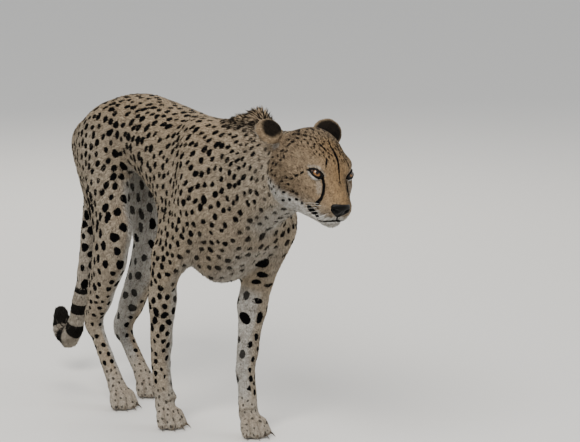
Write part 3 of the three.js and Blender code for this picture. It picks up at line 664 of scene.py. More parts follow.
# ------ mouth, nose and toes pressed in
mouth_in = near_lines(local, mouth_lines)
push = 1.8 * bell(np.clip(1.6 - mouth_in, 0, 20), 1.9) - 0.7 * bell(mouth_in + 6.1, 2.2)
push += 2.2 * ramp(inside_nose(local), 0.5, 3.0) + 6.0 * nostril(local) + 0.9 * groove(local)
push = push * HEAD_SIZE + toe_push(points - normal * (push / 1000.0 * HEAD_SIZE)[:, None], normal)
points = points - normal * (push / 1000.0)[:, None]
local = in_head(points)
for side in SIDES:
    # the skin inside the lids goes behind the eye's ball
    e = in_eye(local, side)
    inside = (outside_lids(e) < -0.2) & (e[:, 2] > 0)
    e[inside] *= ((EYE_BALL - 3.2) / length(e[inside]))[:, None]
    local[inside] = from_eye(e[inside], side)
points = on_head(local)
move_points(skin, points)
skin.data.shade_smooth()
normal = normals_of(skin)
skin_tree = tree_of(skin)

# the bare nose, a pad of its own laid over the skin
NOSE_ACROSS, NOSE_UP = 57, 41
BEFORE_NOSE = -130.0
columns = np.linspace(-1, 1, NOSE_ACROSS)
columns = np.sign(columns) * np.abs(columns) ** 0.9 * NOSE_HALF
low, high = nose_edge(columns)
rows = low[:, None] + (high - low)[:, None] * np.linspace(0, 1, NOSE_UP)[None, :]
grid = np.stack(np.broadcast_arrays(columns[:, None], BEFORE_NOSE, rows), -1).reshape(-1, 3)
hits = in_head(cast(smooth_tree, on_head(grid), from_head([0, 1.0, 0])))
edge_in = np.minimum(inside_nose(hits * [1, 0, 1] + [0, -80, 0]), 6)
wing = bell(np.hypot(np.abs(hits[:, 0]) - 19, hits[:, 2] + 41), 4.5)
hits[:, 1] -= 2.2 * ramp(edge_in, 0.0, 2.6) - 0.9 - 4.6 * nostril(hits) - groove(hits) + 0.9 * wing
index = np.arange(NOSE_ACROSS * NOSE_UP).reshape(NOSE_ACROSS, NOSE_UP)
quads = np.stack([index[:-1, :-1], index[1:, :-1], index[1:, 1:], index[:-1, 1:]], -1).reshape(-1, 4)
nose_pad = mesh_object("nose_pad", on_head(hits), quads)


# ------ markings
HEAD_MIDDLE = np.array([0, 30, -20])


def head_part(local):
    """Share of each point in the head, without the neck."""
    return np.maximum(fade(length(local - HEAD_MIDDLE), 108, 128), fade(local[:, 1], -20, 0))


def ear_parts(local):
    """Share of each point in the ears' backs, insides and rims."""
    back, inside, rim = np.zeros((3, len(local)))
    for side, edge in (("right", 1.02), ("left", 1.12)):
        e = in_ear(local, side)
        near = fade(length(e), 36, 44)
        from_middle = np.hypot(e[:, 0] / 28, e[:, 2] / 30)
        behind = near * fade(e[:, 1], 1, 7)
        back = np.maximum(back, behind * fade(from_middle, edge - 0.34, edge) * ramp(e[:, 0], -26, -10))
        inside = np.maximum(inside, near - behind)
        rim = np.maximum(rim, near * ramp(from_middle, edge - 0.14, edge))
    return back, inside, rim


def ear_base(local):
    """Share of each point in the ears and the fur right around them."""
    return np.maximum.reduce([fade(ear_distance(local, side), 40, 60) for side in EARS])


NO_MARK = -9.0            # far outside any mark
SPOT_DEPTH = 14.0
TAIL_RINGS = 0.66         # where on the tail the rings begin, their step, and the dark tip
TAIL_RING_STEP = 0.075
TAIL_TIP = 0.925


def spot_field(p, n):
    """How far inside the nearest spot each point is, in mm, and how dark that spot is."""
    out = np.full(len(p), NO_MARK)
    dark = np.ones(len(p))
    close = np.array([[found[1] for found in spot_tree.find_n(q, 3)] for q in p.tolist()])
    for c in close.T:
        spot = {name: values[c] for name, values in spots.items()}
        d = (p - spot["place"]) * 1000
        u = dot(d, spot["along"]) / spot["long"]
        v = dot(d, spot["beside"]) / spot["wide"]
        w = dot(d, spot["normal"]) / SPOT_DEPTH
        turn = np.arctan2(v, u)
        wobble = np.sin(2 * turn + spot["phase"]) + 0.6 * np.sin(3 * turn + 2 * spot["phase"])
        field = (1 - np.sqrt(u * u + v * v + w * w) / (1 + spot["wobble"] * wobble)) * spot["wide"]
        better = (field > out) & (dot(n, spot["normal"]) > 0.2)
        out = np.where(better, field, out)
        dark = np.where(better, spot["dark"], dark)
    return out, dark


def dark_marks(p, n, nearest):
    """How far inside a dark mark each point on the skin is, in mm, and how dark the mark is."""
    local = in_head(p)
    out, dark = spot_field(p, n)
    lines = near_lines(local, dark_lines)
    for e, near, lid in around_eyes(local, 34, 4):
        lines = np.where(near, np.maximum(lines, 3.2 + 2.2 * bell(e[:, 0] + 14, 6) - lid), lines)
    lines = np.maximum.reduce([lines, near_lines(local, mouth_lines), inside_nose(local) - 1.0])
    dark = np.where(lines > out, 1.0, dark)
    out = np.maximum(out, lines)
    back = ear_parts(local)[0]
    dark = np.where((back > 0.1) & (back * 4 > out), np.clip(back * 1.25, 0, 0.96), dark)
    out = np.where(back > 0.1, np.maximum(out, back * 4), out)
    along, far = tail_place(p)
    on_tail = (BONE_PIECE[nearest] == "tail") & (far < 0.06)
    band = (np.abs(((along - TAIL_RINGS) / TAIL_RING_STEP) % 1.0 - 0.5) - 0.27) * 60
    band = np.where((along > TAIL_RINGS) & (along < TAIL_TIP - 0.025), band, NO_MARK)
    band = np.maximum(band, (along - TAIL_TIP) * 400)
    dark = np.where(on_tail & (band > out), 0.97, dark)
    return np.where(on_tail, np.maximum(out, band), out), dark


def light_marks(p, n, bone_share):
    """How pale and how golden the coat is at points on the skin, from 0 to 1."""
    local = in_head(p)
    x, y, z = local.T
    head = head_part(local)
    legs = ramp(bone_share @ LEG_BONES, 0.05, 0.95)
    inward = -n[:, 0] * np.sign(p[:, 0])
    tail, breast, neck = (bone_share @ (BONE_PIECE == name) for name in ("tail", "breast", "neck"))
    pale = toward(fade(n[:, 2], -0.95, -0.45) * 0.6, 0.12 + 0.73 * ramp(inward, -0.1, 0.6), legs)
    pale = toward(pale, 0.35, fade(p[:, 2], 0.075, 0.115))
    pale = np.maximum(pale + 0.14 * breast + 0.08 * neck, 0.35 * tail * ramp(tail_place(p)[0], 0.15, 0.4))

    # the face: pale round the eyes, on the cheeks and jaw, golden on the bridge of the nose
    by_eyes = np.zeros(len(p))
    for e, near, out in around_eyes(local, 40, 6):
        below = bell(out - 5.0, 3.2) * fade(e[:, 1], -3, 1) * fade(np.abs(e[:, 0] - 1), 13, 18)
        above = bell(out - 5.5, 2.6) * ramp(e[:, 1], 1, 4) * 0.5
        by_eyes = np.where(near, np.maximum.reduce([by_eyes, below, above]), by_eyes)
    strip = 0.28 * bell(np.minimum(near_lines(local, pale_lines), 0), 3.0)
    cheek = fade(z + np.clip(-y, 0, 40) * 0.5, -74, -52) * 0.9
    jaw = fade(z, -82, -72) * 0.92
    lips = fade(z, -70, -58) * fade(y, -44, -30) * 0.95
    face = np.maximum.reduce([by_eyes, strip, cheek, jaw, lips])
    bridge = bell(np.abs(x) / 1.4, 22) * fade(y, 20, 60) * ramp(z, -56, -42) + 0.1 * ramp(z, 8, 40)
    bridge = np.clip(0.45 + bridge * 0.55 - 0.3 * fade(z, -55, -35) * fade(y, -10, 10), 0, 1)
    pale = toward(pale, face, head)
    golden = 0.3 * ramp(n[:, 2], 0.0, 0.9) * (1 - head) + bridge * head * (1 - face)

    _, inside, rim = ear_parts(local)
    pale = np.maximum(pale * (1 - rim), inside * 0.5)
    around = ear_base(local) * (1 - inside)
    return np.clip(pale * (1 - 0.75 * around), 0, 1), np.clip(np.maximum(golden, 0.5 * around), 0, 1)


tris = triangles_of(skin)
corner, second, third = (points[tris[:, k]] for k in range(3))
areas = length(np.cross(second - corner, third - corner)) / 2
share = shares_of(points)
bone_share, nearest_bone = near_bones(points)
flow = spread(lie_of_coat(points, normal, bone_share), edges_of(skin), 12, 0.5)
flow = unit(flatten(flow, normal))


def spot_sizes(p, n, piece):
    """Least distance between spots, half length and half width in mm, how dark, and where there are any."""
    plain = {"gap": 23.0, "long": 11.0, "wide": 9.0, "dark": 1.0}
    sizes = {name: np.full(len(p), value) for name, value in plain.items()}
    local = in_head(p)
    x, y, z = local.T
    side = np.abs(x)
    height = p[:, 2]

    def rule(where, gap, long=None, wide=None, dark=None):
        for name, value in zip(sizes, (gap, long, wide, dark)):
            if value is not None:
                sizes[name][where] = value

    def part(*names):
        return np.logical_or.reduce([np.char.startswith(piece, name) for name in names])

    rule(n[:, 2] > 0.7, 20.0, 10.5, 7.6)
    rule(part("chest"), 21.0, 9.2, 8.0)
    rule(part("shoulder"), 20.0, 9.0, 7.3)
    rule(part("neck"), 19.6, 8.9, 6.5)
    rule(part("breast"), 24.0, 9.4, 7.8)
    rule(part("thigh"), 20.5, 8.9, 8.0)
    rule(part("thigh") & (height < 0.55), 25.0, 11.8, 10.6)
    rule(part("thigh") & (height < 0.50), 29.0, 13.6, 12.0)
    rule(part("hindleg"), 24.0, 10.5, 8.6)
    rule(part("hindleg") & (height < 0.30), 18.0, 7.0, 5.6)
    rule(part("foreleg"), 21.5, 10.4, 7.8)
    rule(part("foreleg") & (height < 0.24), 17.0, 6.8, 5.4)
    legs = part("foreleg", "hindleg", "thigh")
    rule(legs & (-n[:, 0] * np.sign(p[:, 0]) > 0.45), 34.0, 11.5, 9.5, dark=0.9)
    rule(height < 0.10, 14.0, 4.0, 3.0, dark=0.8)
    rule((n[:, 2] < -0.5) & ~legs, 25.0, dark=0.93)
    rule(part("tail"), 24.0, 12.0, 9.0)
    # head: small dashes on the crown, dots on the cheeks, none on the front of the face
    head = head_part(local) > 0.5
    behind_jaw = ~head & (length(local - HEAD_MIDDLE) < 175) & (side > 25) & (z < 45)
    rule(behind_jaw, 22.5, 8.0, 5.6, dark=0.8)
    rule(head, 12.0, 4.6, 2.8, dark=0.9)
    rule(head & (z > 25), 8.3, 4.0, 2.2, dark=0.95)
    rule(head & (z < -22), 13.5, 4.4, 3.6, dark=0.96)
    rule(head & (y > 70), 13.0, 7.0, 3.8)
    bare_face = (y < 8) & (z < 36) | (side < 8) & (y < 34) | (y < 78) & (z < 34) & (z > -26)
    bare_face |= (y < 60) & (side > 40) & (z > 0) | (side > 40) & (z < -20) & (y < 92)
    bare_face |= (z < -80) & (y < 60) | (z < -56) & (y < -2)
    bare_tail = part("tail") & (tail_place(p)[0] > TAIL_RINGS - 0.02)
    wanted = ~bare_tail & ~(head & bare_face) & (ear_base(local) < 0.5)
    return *sizes.values(), wanted


# places for the spots: many tries in random order, each kept where it is clear of those already there
TRIES = 60000
SEARCH = 0.0018           # metres looked round a place for each mm of its gap
STEEP = np.array([[0, 0.25, -1.0]])       # long way of the spots on the flanks
STRAIGHT_DOWN = np.array([[0, 0, -1.0]])
where = scatter(1.0 + 2.0 * share["head"], TRIES)
place = blend_corners(points, where)
facing = unit(blend_corners(normal, where))
along = unit(blend_corners(flow, where))
piece = BONE_PIECE[near_bones(place)[1]]
gap, long, wide, dark, wanted = spot_sizes(place, facing, piece)
flank = np.isin(piece, ["chest", "loin", "rump"]) & (np.abs(facing[:, 2]) < 0.6)
axis = np.where(flank[:, None], unit(flatten(STEEP, facing)), along)
stretch = np.sqrt(long / wide)
tries = places_tree(place)
blocked = ~wanted
kept = []
for i in rng.permutation(TRIES).tolist():
    if blocked[i]:
        continue
    kept.append(i)
    near = np.array([found[1] for found in tries.find_range(place[i], gap[i] * SEARCH)])
    away = (place[near] - place[i]) * 1000
    endways = away @ axis[i]
    sideways = np.sqrt(np.maximum(dot(away, away) - endways ** 2, 0))
    apart = np.hypot(endways / stretch[i], sideways * stretch[i])
    blocked[near[apart < (gap[i] + gap[near]) / 2]] = True
kept = np.array(kept)
axis = axis[kept]
swing = rng.normal(0, 0.32, len(kept))[:, None]
axis = unit(axis * np.cos(swing) + np.cross(facing[kept], axis) * np.sin(swing))
size = rng.uniform(0.78, 1.16, len(kept))

# the bold blotches of the left foreleg and the thighs, as place, half height and half width in mm
BLOTCHES = [
    ((50, -217, 294), 15, 17), ((84, -239, 294), 14, 10), ((61, -286, 442), 19, 19),
    ((72, -268, 407), 10, 14), ((52, -201, 388), 6, 12), ((66, -249, 387), 6, 15), ((94, -261, 378), 6, 13),
    ((73, -243, 338), 8, 13), ((79, -231, 246), 9, 7), ((62, -227, 228), 8, 7),
    ((-126, 126, 457), 14, 13), ((-106, 104, 486), 12, 10), ((-114, 130, 418), 12, 10),
    ((-131, 172, 431), 13, 12), ((52, 338, 410), 13, 12), ((65, 281, 401), 12, 10), ((64, 272, 455), 14, 12),
]
# the dots of the cheeks, in the head's frame, on both sides
CHEEK_DOTS = [
    (68, 43, -68), (67, 70, -84), (65, 41, -86), (60, 27, -77), (54, 11, -68), (61, 22, -54), (57, 12, -55),
    (49, -4, -69), (69, 81, -74), (71, 84, -50), (72, 54, -47), (68, 35, -45), (71, 59, -64), (72, 43, -33),
]
CHEEK_DOT_SIZE = (3.8, 5.3)
bold = [(at(*middle), tall, across) for middle, tall, across in BLOTCHES]
bold += [(on_head([x * mirror, y, z]), *CHEEK_DOT_SIZE) for x, y, z in CHEEK_DOTS for mirror in (-1, 1)]
bold_place, bold_facing = onto(skin_tree, np.array([b[0] for b in bold]))
bold_long, bold_wide = np.array([b[1:] for b in bold], float).T
clear_by = np.maximum(bold_long, bold_wide) * np.where(bold_long > 5, 2.1, 1.2)
clear = np.ones(len(kept), bool)
for middle, reach in zip(bold_place, clear_by):
    clear &= length(place[kept] - middle) * 1000 > reach
kept, axis, size = kept[clear], axis[clear], size[clear]
down = unit(flatten(STRAIGHT_DOWN, bold_facing))
count = len(kept)
spots = {
    "place": (place[kept], bold_place),
    "normal": (facing[kept], bold_facing),
    "along": (axis, down),
    "beside": (np.cross(facing[kept], axis), np.cross(bold_facing, down)),
    "long": (long[kept] * size * rng.uniform(0.9, 1.12, count), bold_long),
    "wide": (wide[kept] * size, bold_wide),
    "wobble": (rng.uniform(0.04, 0.13, count), np.full(len(bold), 0.12)),
    "phase": (rng.uniform(0, 6.28, count), np.arange(len(bold)) * 1.7),
    "dark": (dark[kept], np.ones(len(bold))),
}
spots = {name: np.concatenate(pair) for name, pair in spots.items()}
spot_tree = places_tree(spots["place"])
MARKS = ("spot", "dark", "pale", "golden")

# ------ the coat, in solid tufts
# length, width, height of the tip and area for each tuft, in mm and square mm
COAT_SHARE = 1.0
coat = {
    "length": by_share(share, body=12.5, leg=9.0, head=7.0, ear=5.0, paw=5.0),
    "width": by_share(share, body=3.2, leg=2.7, head=1.9, ear=1.6, paw=1.9),
    "tip_up": by_share(share, body=3.6, leg=2.1, head=1.2, ear=0.6, paw=0.9),
    "cover": by_share(share, body=7.2, leg=6.0, head=4.0, ear=3.2, paw=4.6),
}
local = in_head(points)
piece = BONE_PIECE[nearest_bone]
off_head = 1 - share["head"]
front = share["head"] * fade(local[:, 1], -6, 14) * (1 - share["ear"])
trunk = ~np.char.startswith(piece, "foreleg") & ~np.char.startswith(piece, "hindleg") & (piece != "tail")
belly = trunk * off_head * (1 - share["paw"]) * fade(normal[:, 2], -0.85, -0.35)
throat = (piece == "breast") * off_head
nape = (piece == "neck") * off_head
crest = bell(crest_distance(points), 0.036)
RUFF_MIDDLE = np.array([52, 66, -58])
from_ruff = (np.column_stack([np.abs(local[:, 0]), local[:, 1:]]) - RUFF_MIDDLE) / [1, 1.2, 1.2]
ruff = bell(length(from_ruff), 34)
brush = (piece == "tail") * ramp(tail_place(points)[0], 0.55, 0.95)
_, ear_in, ear_rim = ear_parts(local)
for amount, targets in [
    (front, {"length": 5.0, "width": 1.4, "tip_up": 0.9, "cover": 2.8}),
    (np.clip(belly + throat * 0.8, 0, 1), {"length": 19.0}),
    (np.clip(belly + throat * 0.7, 0, 1), {"tip_up": 6.5}),
    (nape * 0.8, {"length": 16.0, "tip_up": 4.6}),
    (crest, {"length": 27.0, "width": 3.0, "tip_up": 15.0, "cover": 4.6}),
    (ruff, {"length": 14.0, "tip_up": 3.4}),
    (brush, {"length": 21.0, "tip_up": 6.0}),
    (ear_in * (1 - ear_rim) * 0.8, {"length": 11.0, "tip_up": 2.6}),
]:
    for name, target in targets.items():
        coat[name] = toward(coat[name], target, amount)
bare = np.clip(np.maximum(inside_nose(local) - 0.6, near_lines(local, mouth_lines) + 0.7), 0, 1)
for _, near, lid in around_eyes(local, 34, 4):
    bare = np.where(near & (lid < 1.4), 1.0, bare)
bare = np.maximum(bare, fade(points[:, 2], 0.003, 0.006))
density = (1 - bare) / coat["cover"]

wanted = int((areas * density[tris].mean(1)).sum() * 1e6 * COAT_SHARE)
where = scatter(density, wanted)
root = blend_corners(points, where)
up = unit(blend_corners(normal, where))
ahead = unit(flatten(blend_corners(flow, where), up))
sizes = np.stack([coat["length"], coat["width"], coat["tip_up"]], -1) / 1000.0
long, wide, high = blend_corners(sizes, where).T
crest_root = blend_corners(crest[:, None], where)[:, 0]

# neighbouring tufts lean and shade alike, in small locks
lock_places = root[rng.permutation(wanted)[:wanted // 6]]
lock_tree = places_tree(lock_places)
stretched = root + ahead * (rng.uniform(-0.5, 0.5, wanted) * long)[:, None]
lock = np.array([lock_tree.find(p)[1] for p in stretched.tolist()])
lock_yaw = rng.normal(0, 0.16, len(lock_places))
lock_shade = rng.random(len(lock_places))
lock_high = rng.uniform(0.75, 1.25, len(lock_places))
yaw = rng.normal(0, 0.13, wanted) + lock_yaw[lock]
ahead = ahead * np.cos(yaw)[:, None] + np.cross(up, ahead) * np.sin(yaw)[:, None]
long = long * rng.uniform(0.78, 1.22, wanted)
wide = wide * rng.uniform(0.8, 1.2, wanted)
high = high * rng.uniform(0.6, 1.2, wanted) * lock_high[lock]

# lying tufts keep to the skin along their length, raised ones stand free of it
raised = ramp(high / long, 0.35, 0.55)[:, None]


def along_tuft(lying, standing):
    """Where a tuft passes over the skin at a share of its length, and the way up there."""
    place, place_up = onto(skin_tree, root + ahead * (lying * long)[:, None])
    place = toward(place, root + ahead * (standing * long)[:, None], raised)
    return place, unit(toward(place_up, up, raised))


middle_skin, middle_up = along_tuft(0.5, 0.36)
end_skin, end_up = along_tuft(0.98, 0.75)
middle = middle_skin + middle_up * (0.62 * high + 0.30 * wide)[:, None]
end = end_skin + end_up * high[:, None]
root_share, root_bone = near_bones(root)
root_piece = BONE_PIECE[root_bone]

# a tuft is a wedge: its two root corners, the ridge of its back and its tip
ROOT_DEPTH = 0.0007
TUFT_FACES = np.array([(0, 3, 2), (2, 3, 1), (0, 2, 1), (0, 1, 3)])
TIP = np.array([0, 0, 0.6, 1.0])          # how near the tip each corner is
RING = (0, 0, 1, 2)                       # root, middle or end, for each corner
half = np.cross(up, ahead) * (wide / 2)[:, None]
base = root - up * ROOT_DEPTH
tuft_points = np.stack([base - half, base + half, middle, end], 1)
tuft_shade = 0.4 * rng.random(wanted) + 0.6 * lock_shade[lock]
seen = [dark_marks(root, up, root_bone), dark_marks(middle_skin, middle_up, root_bone),
        dark_marks(end_skin, end_up, root_bone)]
spot, dark = (np.stack([marks[k] for marks in seen], 1)[:, RING] for k in (0, 1))
pale, golden = (np.repeat(values[:, None], 4, 1) for values in light_marks(root, up, root_share))

# the crest's hairs are mixed with black ones, and the face's and crown's have dark tips
root_local = in_head(root)
root_head = head_part(root_local) * (1 - pale[:, 0])
root_crown = root_head * ramp(root_local[:, 2], 22, 44) * ramp(root_local[:, 1], -20, 10)
root_cheek = root_head * ramp(np.abs(root_local[:, 0]), 30, 52)
tuft_shade -= 0.30 * root_head + 0.08 * root_crown + 0.16 * root_cheek + 0.15 * ear_base(root_local)
golden = np.maximum(golden, 0.6 * crest_root[:, None])
TIP_DARK = 2.0
ticked = rng.random(wanted) < 0.05 + 0.2 * root_head + 0.22 * root_crown
spot[ticked, 2:] = np.maximum(spot[ticked, 2:], TIP_DARK)
dark[ticked, 2:] = np.maximum(dark[ticked, 2:] * (spot[ticked, :1] > 0), 0.55)
black_hair = (rng.random(wanted) < 0.64) & (crest_root > 0.25)
spot[black_hair, 2:] = TIP_DARK
dark[black_hair, 2:] = 0.94
tuft_marks = (spot, dark, pale, golden)


def unwrap(which):
    """A cell of its own for each tuft, on the skin of its part rolled out flat along the bones."""
    p = root[which]
    along, around = np.zeros((2, len(p)))
    start = 0.0
    for i, (_, a, b, _, _) in enumerate(BONES):
        on = root_bone[which] == i
        if not on.any():
            continue
        line = unit(b - a)
        first = unit(np.cross(line, [0.6, 0.0, 0.8]))
        d = p[on] - a
        along[on] = start + d @ line
        around[on] = np.arctan2(d @ np.cross(line, first), d @ first)
        start += np.linalg.norm(b - a)
    count = len(p)
    lines = int(math.ceil(math.sqrt(count)))
    row = np.empty(count, int)
    row[np.argsort(along, kind="stable")] = np.arange(count) * lines // count
    order = np.lexsort((around, row))
    first_of_row = np.searchsorted(row[order], np.arange(lines))
    column = np.empty(count, int)
    column[order] = np.arange(count) - first_of_row[row[order]]
    in_row = np.bincount(row, minlength=lines)[row]
    return np.stack([(column + 0.5) / in_row, (row + 0.5) / lines], -1) * 0.99 + 0.005


PATCH = np.array([(-1, -1), (1, -1), (0, 0), (0, 1)]) * 0.0014     # a tuft's own patch of the unwrap


def coat_piece(name, which):
    count = len(which)
    faces = (np.arange(count)[:, None, None] * 4 + TUFT_FACES[None]).reshape(-1, 3)
    obj = mesh_object(name, tuft_points[which].reshape(-1, 3), faces, check=False)
    put(obj, "tip", np.tile(TIP, count))
    put(obj, "shade", np.repeat(tuft_shade[which], 4))
    for mark, values in zip(MARKS, tuft_marks):
        put(obj, mark, values[which])
    uv = (unwrap(which)[:, None, :] + PATCH[None]).reshape(-1, 2)
    fill(obj.data.uv_layers.new(name="OFBake").data, "uv", uv[faces.ravel()])
    return obj


FACES_PER_PIECE = 195000
coats = []
for name in dict.fromkeys(BONE_PIECE.tolist()):
    which = np.nonzero(root_piece == name)[0]
    parts = int(math.ceil(len(which) * len(TUFT_FACES) / FACES_PER_PIECE))
    if parts > 1:
        ordered = which[np.argsort(root[which, Y if root[which, Y].std() > 0.04 else X])]
        for k, group in enumerate(np.array_split(ordered, parts)):
            coats.append(coat_piece("coat_%s_%d" % (name, k + 1), group))
    elif parts:
        coats.append(coat_piece("coat_" + name, which))

skin_marks = dark_marks(points, normal, nearest_bone) + light_marks(points, normal, bone_share)
# the skin between the tufts counts as near the roots, so it takes the painted shade of the coat's depths
put(skin, "tip", np.full(len(points), 0.3))
put(skin, "shade", 0.5 - 0.32 * head_part(in_head(points)) * (1 - skin_marks[2]))
for mark, values in zip(MARKS, skin_marks):
    put(skin, mark, values)


# ------ eyes, their rims and the whiskers
def tube(path, radius, sides, closed):
    """A round tube along a path, with its own radius at each point."""
    count = len(path)
    forward = unit(np.roll(path, -1, 0) - np.roll(path, 1, 0) if closed else np.gradient(path, axis=0))
    first = unit(np.cross(forward, [0.31, 0.2, 0.93]))
    second = np.cross(forward, first)
    turn = (np.arange(sides) / sides * 2 * math.pi)[None, :, None]
    ring = first[:, None, :] * np.cos(turn) + second[:, None, :] * np.sin(turn)
    p = path[:, None, :] + ring * radius[:, None, None]
    index = np.arange(count * sides).reshape(count, sides)
    base, following = (index, np.roll(index, -1, 0)) if closed else (index[:-1], index[1:])
    quads = np.stack([base, np.roll(base, -1, 1), np.roll(following, -1, 1), following], -1).reshape(-1, 4)
    return p.reshape(-1, 3), quads


def tubes_piece(name, tubes):
    """One piece from several tubes, with its faces turned outwards."""
    starts = np.cumsum([0] + [len(p) for p, _ in tubes])
    obj = mesh_object(name, np.concatenate([p for p, _ in tubes]),
                      np.concatenate([quads + start for (_, quads), start in zip(tubes, starts)]))
    edit(obj, bpy.ops.mesh.normals_make_consistent, inside=False)
    return obj


GAZE = unit([0.41, -0.74, 0.50])
CORNEA = 0.0011
CORNEA_EDGE = (0.72, 0.35)                # angles from the gaze between which the cornea rises
eyeballs = {}
eye_rims = {}
for side, s in SIDES.items():
    deselect()
    bpy.ops.mesh.primitive_uv_sphere_add(segments=64, ring_count=48, radius=EYE_RADIUS - 0.0002,
                                         location=(0, 0, 0))
    eye = bpy.context.object
    eye.name = "eyeball_" + side
    gaze = from_head(GAZE * [s, 1, 1])
    first = unit(np.cross(gaze, [0, 0, 1.0]))
    second = np.cross(gaze, first)
    p = points_of(eye)
    angle = np.arccos(np.clip(p[:, 2] / length(p), -1, 1))
    turn = np.arctan2(p[:, 1], p[:, 0])
    bulge = 1 + CORNEA / EYE_RADIUS * fade(angle, CORNEA_EDGE[1], CORNEA_EDGE[0])
    turned = (p[:, 0:1] * first - p[:, 1:2] * second + p[:, 2:3] * gaze) * bulge[:, None]
    put(eye, "from_middle", angle * EYE_RADIUS * 1000.0)
    put(eye, "rays", np.stack([np.cos(turn), np.sin(turn), angle * 0.25], -1), "FLOAT_VECTOR", "vector")
    move_points(eye, turned + eyes[side])
    eye.data.shade_smooth()
    eyeballs[side] = eye
    e = in_eye(in_head(rims[side]), side)
    radius = (1.35 + 1.1 * bell(e[:, 0] + 15, 5) + 0.35 * (e[:, 1] > LID_LEVEL)) / 1000.0
    eye_rims[side] = tubes_piece("eye_rim_" + side, [tube(rims[side], radius, 8, True)])

WHISKER_RADIUS = 0.00027
t = np.linspace(0, 1, 9)[:, None]
sag = from_head([0, 0.35, -0.45])
whisker_tubes = []
for s in SIDES.values():
    for row in range(3):
        for k in range(4):
            base = on_head([[s * (17 + 3.2 * k), -64 + 6.5 * k, -54 - 6 * row + 1.5 * k]])
            base, out = onto(skin_tree, base)
            out = unit(from_head([s * 0.9, 0.55 + 0.12 * k, -0.25 - 0.18 * row]) + 0.5 * out[0])
            reach = (0.034 + 0.006 * k) * rng.uniform(0.85, 1.15)
            path = base - out * 0.001 + out * t * reach + sag * (t ** 2) * reach * 0.55
            whisker_tubes.append(tube(path, WHISKER_RADIUS * (1.05 - t[:, 0]), 4, False))
whiskers = tubes_piece("whiskers", whisker_tubes)


# ------ materials
OBJECT_PLACE = 3          # outputs of the coordinate and attribute nodes
FACTOR = 2
VECTOR = 1


class Wire:
    """A socket that takes part in sums."""

    def __init__(self, paint, socket):
        self.paint = paint
        self.socket = socket

    def math(self, operation, first, second):
        return self.paint.node("ShaderNodeMath", {"operation": operation}, {0: first, 1: second})[0]

    def __add__(self, other):
        return self.math("ADD", self, other)

    def __sub__(self, other):
        return self.math("SUBTRACT", self, other)

    def __rsub__(self, other):
        return self.math("SUBTRACT", other, self)

    def __mul__(self, other):
        return self.math("MULTIPLY", self, other)

    __radd__ = __add__
    __rmul__ = __mul__

    def clamp(self):
        return self.paint.node("ShaderNodeClamp", {}, {0: self})[0]

    def between(self, low, high):
        """0 below low, 1 above high, soft between."""
        return self.paint.node("ShaderNodeMapRange", {"interpolation_type": "SMOOTHSTEP"},
                               {"Value": self, "From Min": low, "From Max": high})[0]


def srgb(*levels):
    part = [c / 255.0 for c in levels]
    return tuple(c / 12.92 if c <= 0.04045 else ((c + 0.055) / 1.055) ** 2.4 for c in part) + (1.0,)


class Paint:
    """A material and the ways to build its nodes."""

    def __init__(self, name):
        self.material = bpy.data.materials.new(name)
        self.material.use_nodes = True
        self.tree = self.material.node_tree
        self.shader = self.tree.nodes["Principled BSDF"]
        self.place = self.node("ShaderNodeTexCoord", {}, {})[OBJECT_PLACE]

    def node(self, kind, settings, inputs):
        made = self.tree.nodes.new(kind)
        for key, value in settings.items():
            setattr(made, key, value)
        for key, value in inputs.items():
            self.join(made.inputs[key], value)
        return [Wire(self, s) for s in made.outputs]

    def join(self, socket, value):
        if isinstance(value, Wire):
            self.tree.links.new(value.socket, socket)
        else:
            socket.default_value = value

    def attribute(self, name, output=FACTOR):
        return self.node("ShaderNodeAttribute", {"attribute_name": name}, {})[output]

    def noise(self, scale, detail=2.0, rough=0.5, vector=None):
        """Noise about its middle value, 0, by Object coordinates or by a vector of its own."""
        return self.node("ShaderNodeTexNoise", {}, {"Vector": vector or self.place, "Scale": scale,
                                                    "Detail": detail, "Roughness": rough})[0] - 0.5

    def mix(self, share, first, second):
        # the node's sockets for colours: share and both colours in, their mix out
        return self.node("ShaderNodeMix", {"data_type": "RGBA"}, {0: share, 6: first, 7: second})[2]

    def finish(self, bump=None, strength=0.3, distance=0.001, **sockets):
        for key, value in sockets.items():
            self.join(self.shader.inputs[key.replace("_", " ")], value)
        if bump is not None:
            inputs = {"Height": bump, "Strength": strength, "Distance": distance}
            self.join(self.shader.inputs["Normal"], self.node("ShaderNodeBump", {}, inputs)[0])
        return self.material


# the coat's colours: ground, back, belly, a dark brown for darker fur and for the painted shade between the
# hairs, and marks
BUFF = srgb(164, 151, 131)
GOLD = srgb(170, 139, 99)
CREAM = srgb(186, 184, 178)
DARK_FUR_AND_ROOT_SHADE = srgb(74, 62, 50)
BLACK = srgb(4, 4, 5)


def coat_paint():
    paint = Paint("coat_paint")
    fine = paint.noise(1100.0)
    middling = paint.noise(260.0, 3.0)
    patchy = paint.noise(110.0)
    broad = paint.noise(22.0, 3.0)
    spot, dark, pale, golden = (paint.attribute(name) for name in MARKS)
    tip = paint.attribute("tip")
    shade = paint.attribute("shade")
    base = paint.mix((golden + broad * 0.35).clamp(), BUFF, GOLD)
    base = paint.mix((pale + broad * 0.3).clamp(), base, CREAM)
    # painted shade: the coat darkens towards each tuft's root and on the skin between the tufts (tip near
    # 0); the locks' shade, the darker face and the noise add the fur's own darker tone
    depth = (1 - tip) * 0.42 + (0.5 - shade) * 0.85 + middling * 0.9 + patchy * 0.6 + 0.05
    base = paint.mix(depth.clamp(), base, DARK_FUR_AND_ROOT_SHADE)
    mask = (spot + middling * 2.2 + fine * 1.2).between(-0.55, 0.55) * dark
    return paint.finish(Base_Color=paint.mix(mask, base, BLACK), Roughness=0.75 - mask * 0.1 + fine * 0.2,
                        Specular_IOR_Level=0.05, bump=fine * 0.5 + middling, strength=0.35, distance=0.0006)


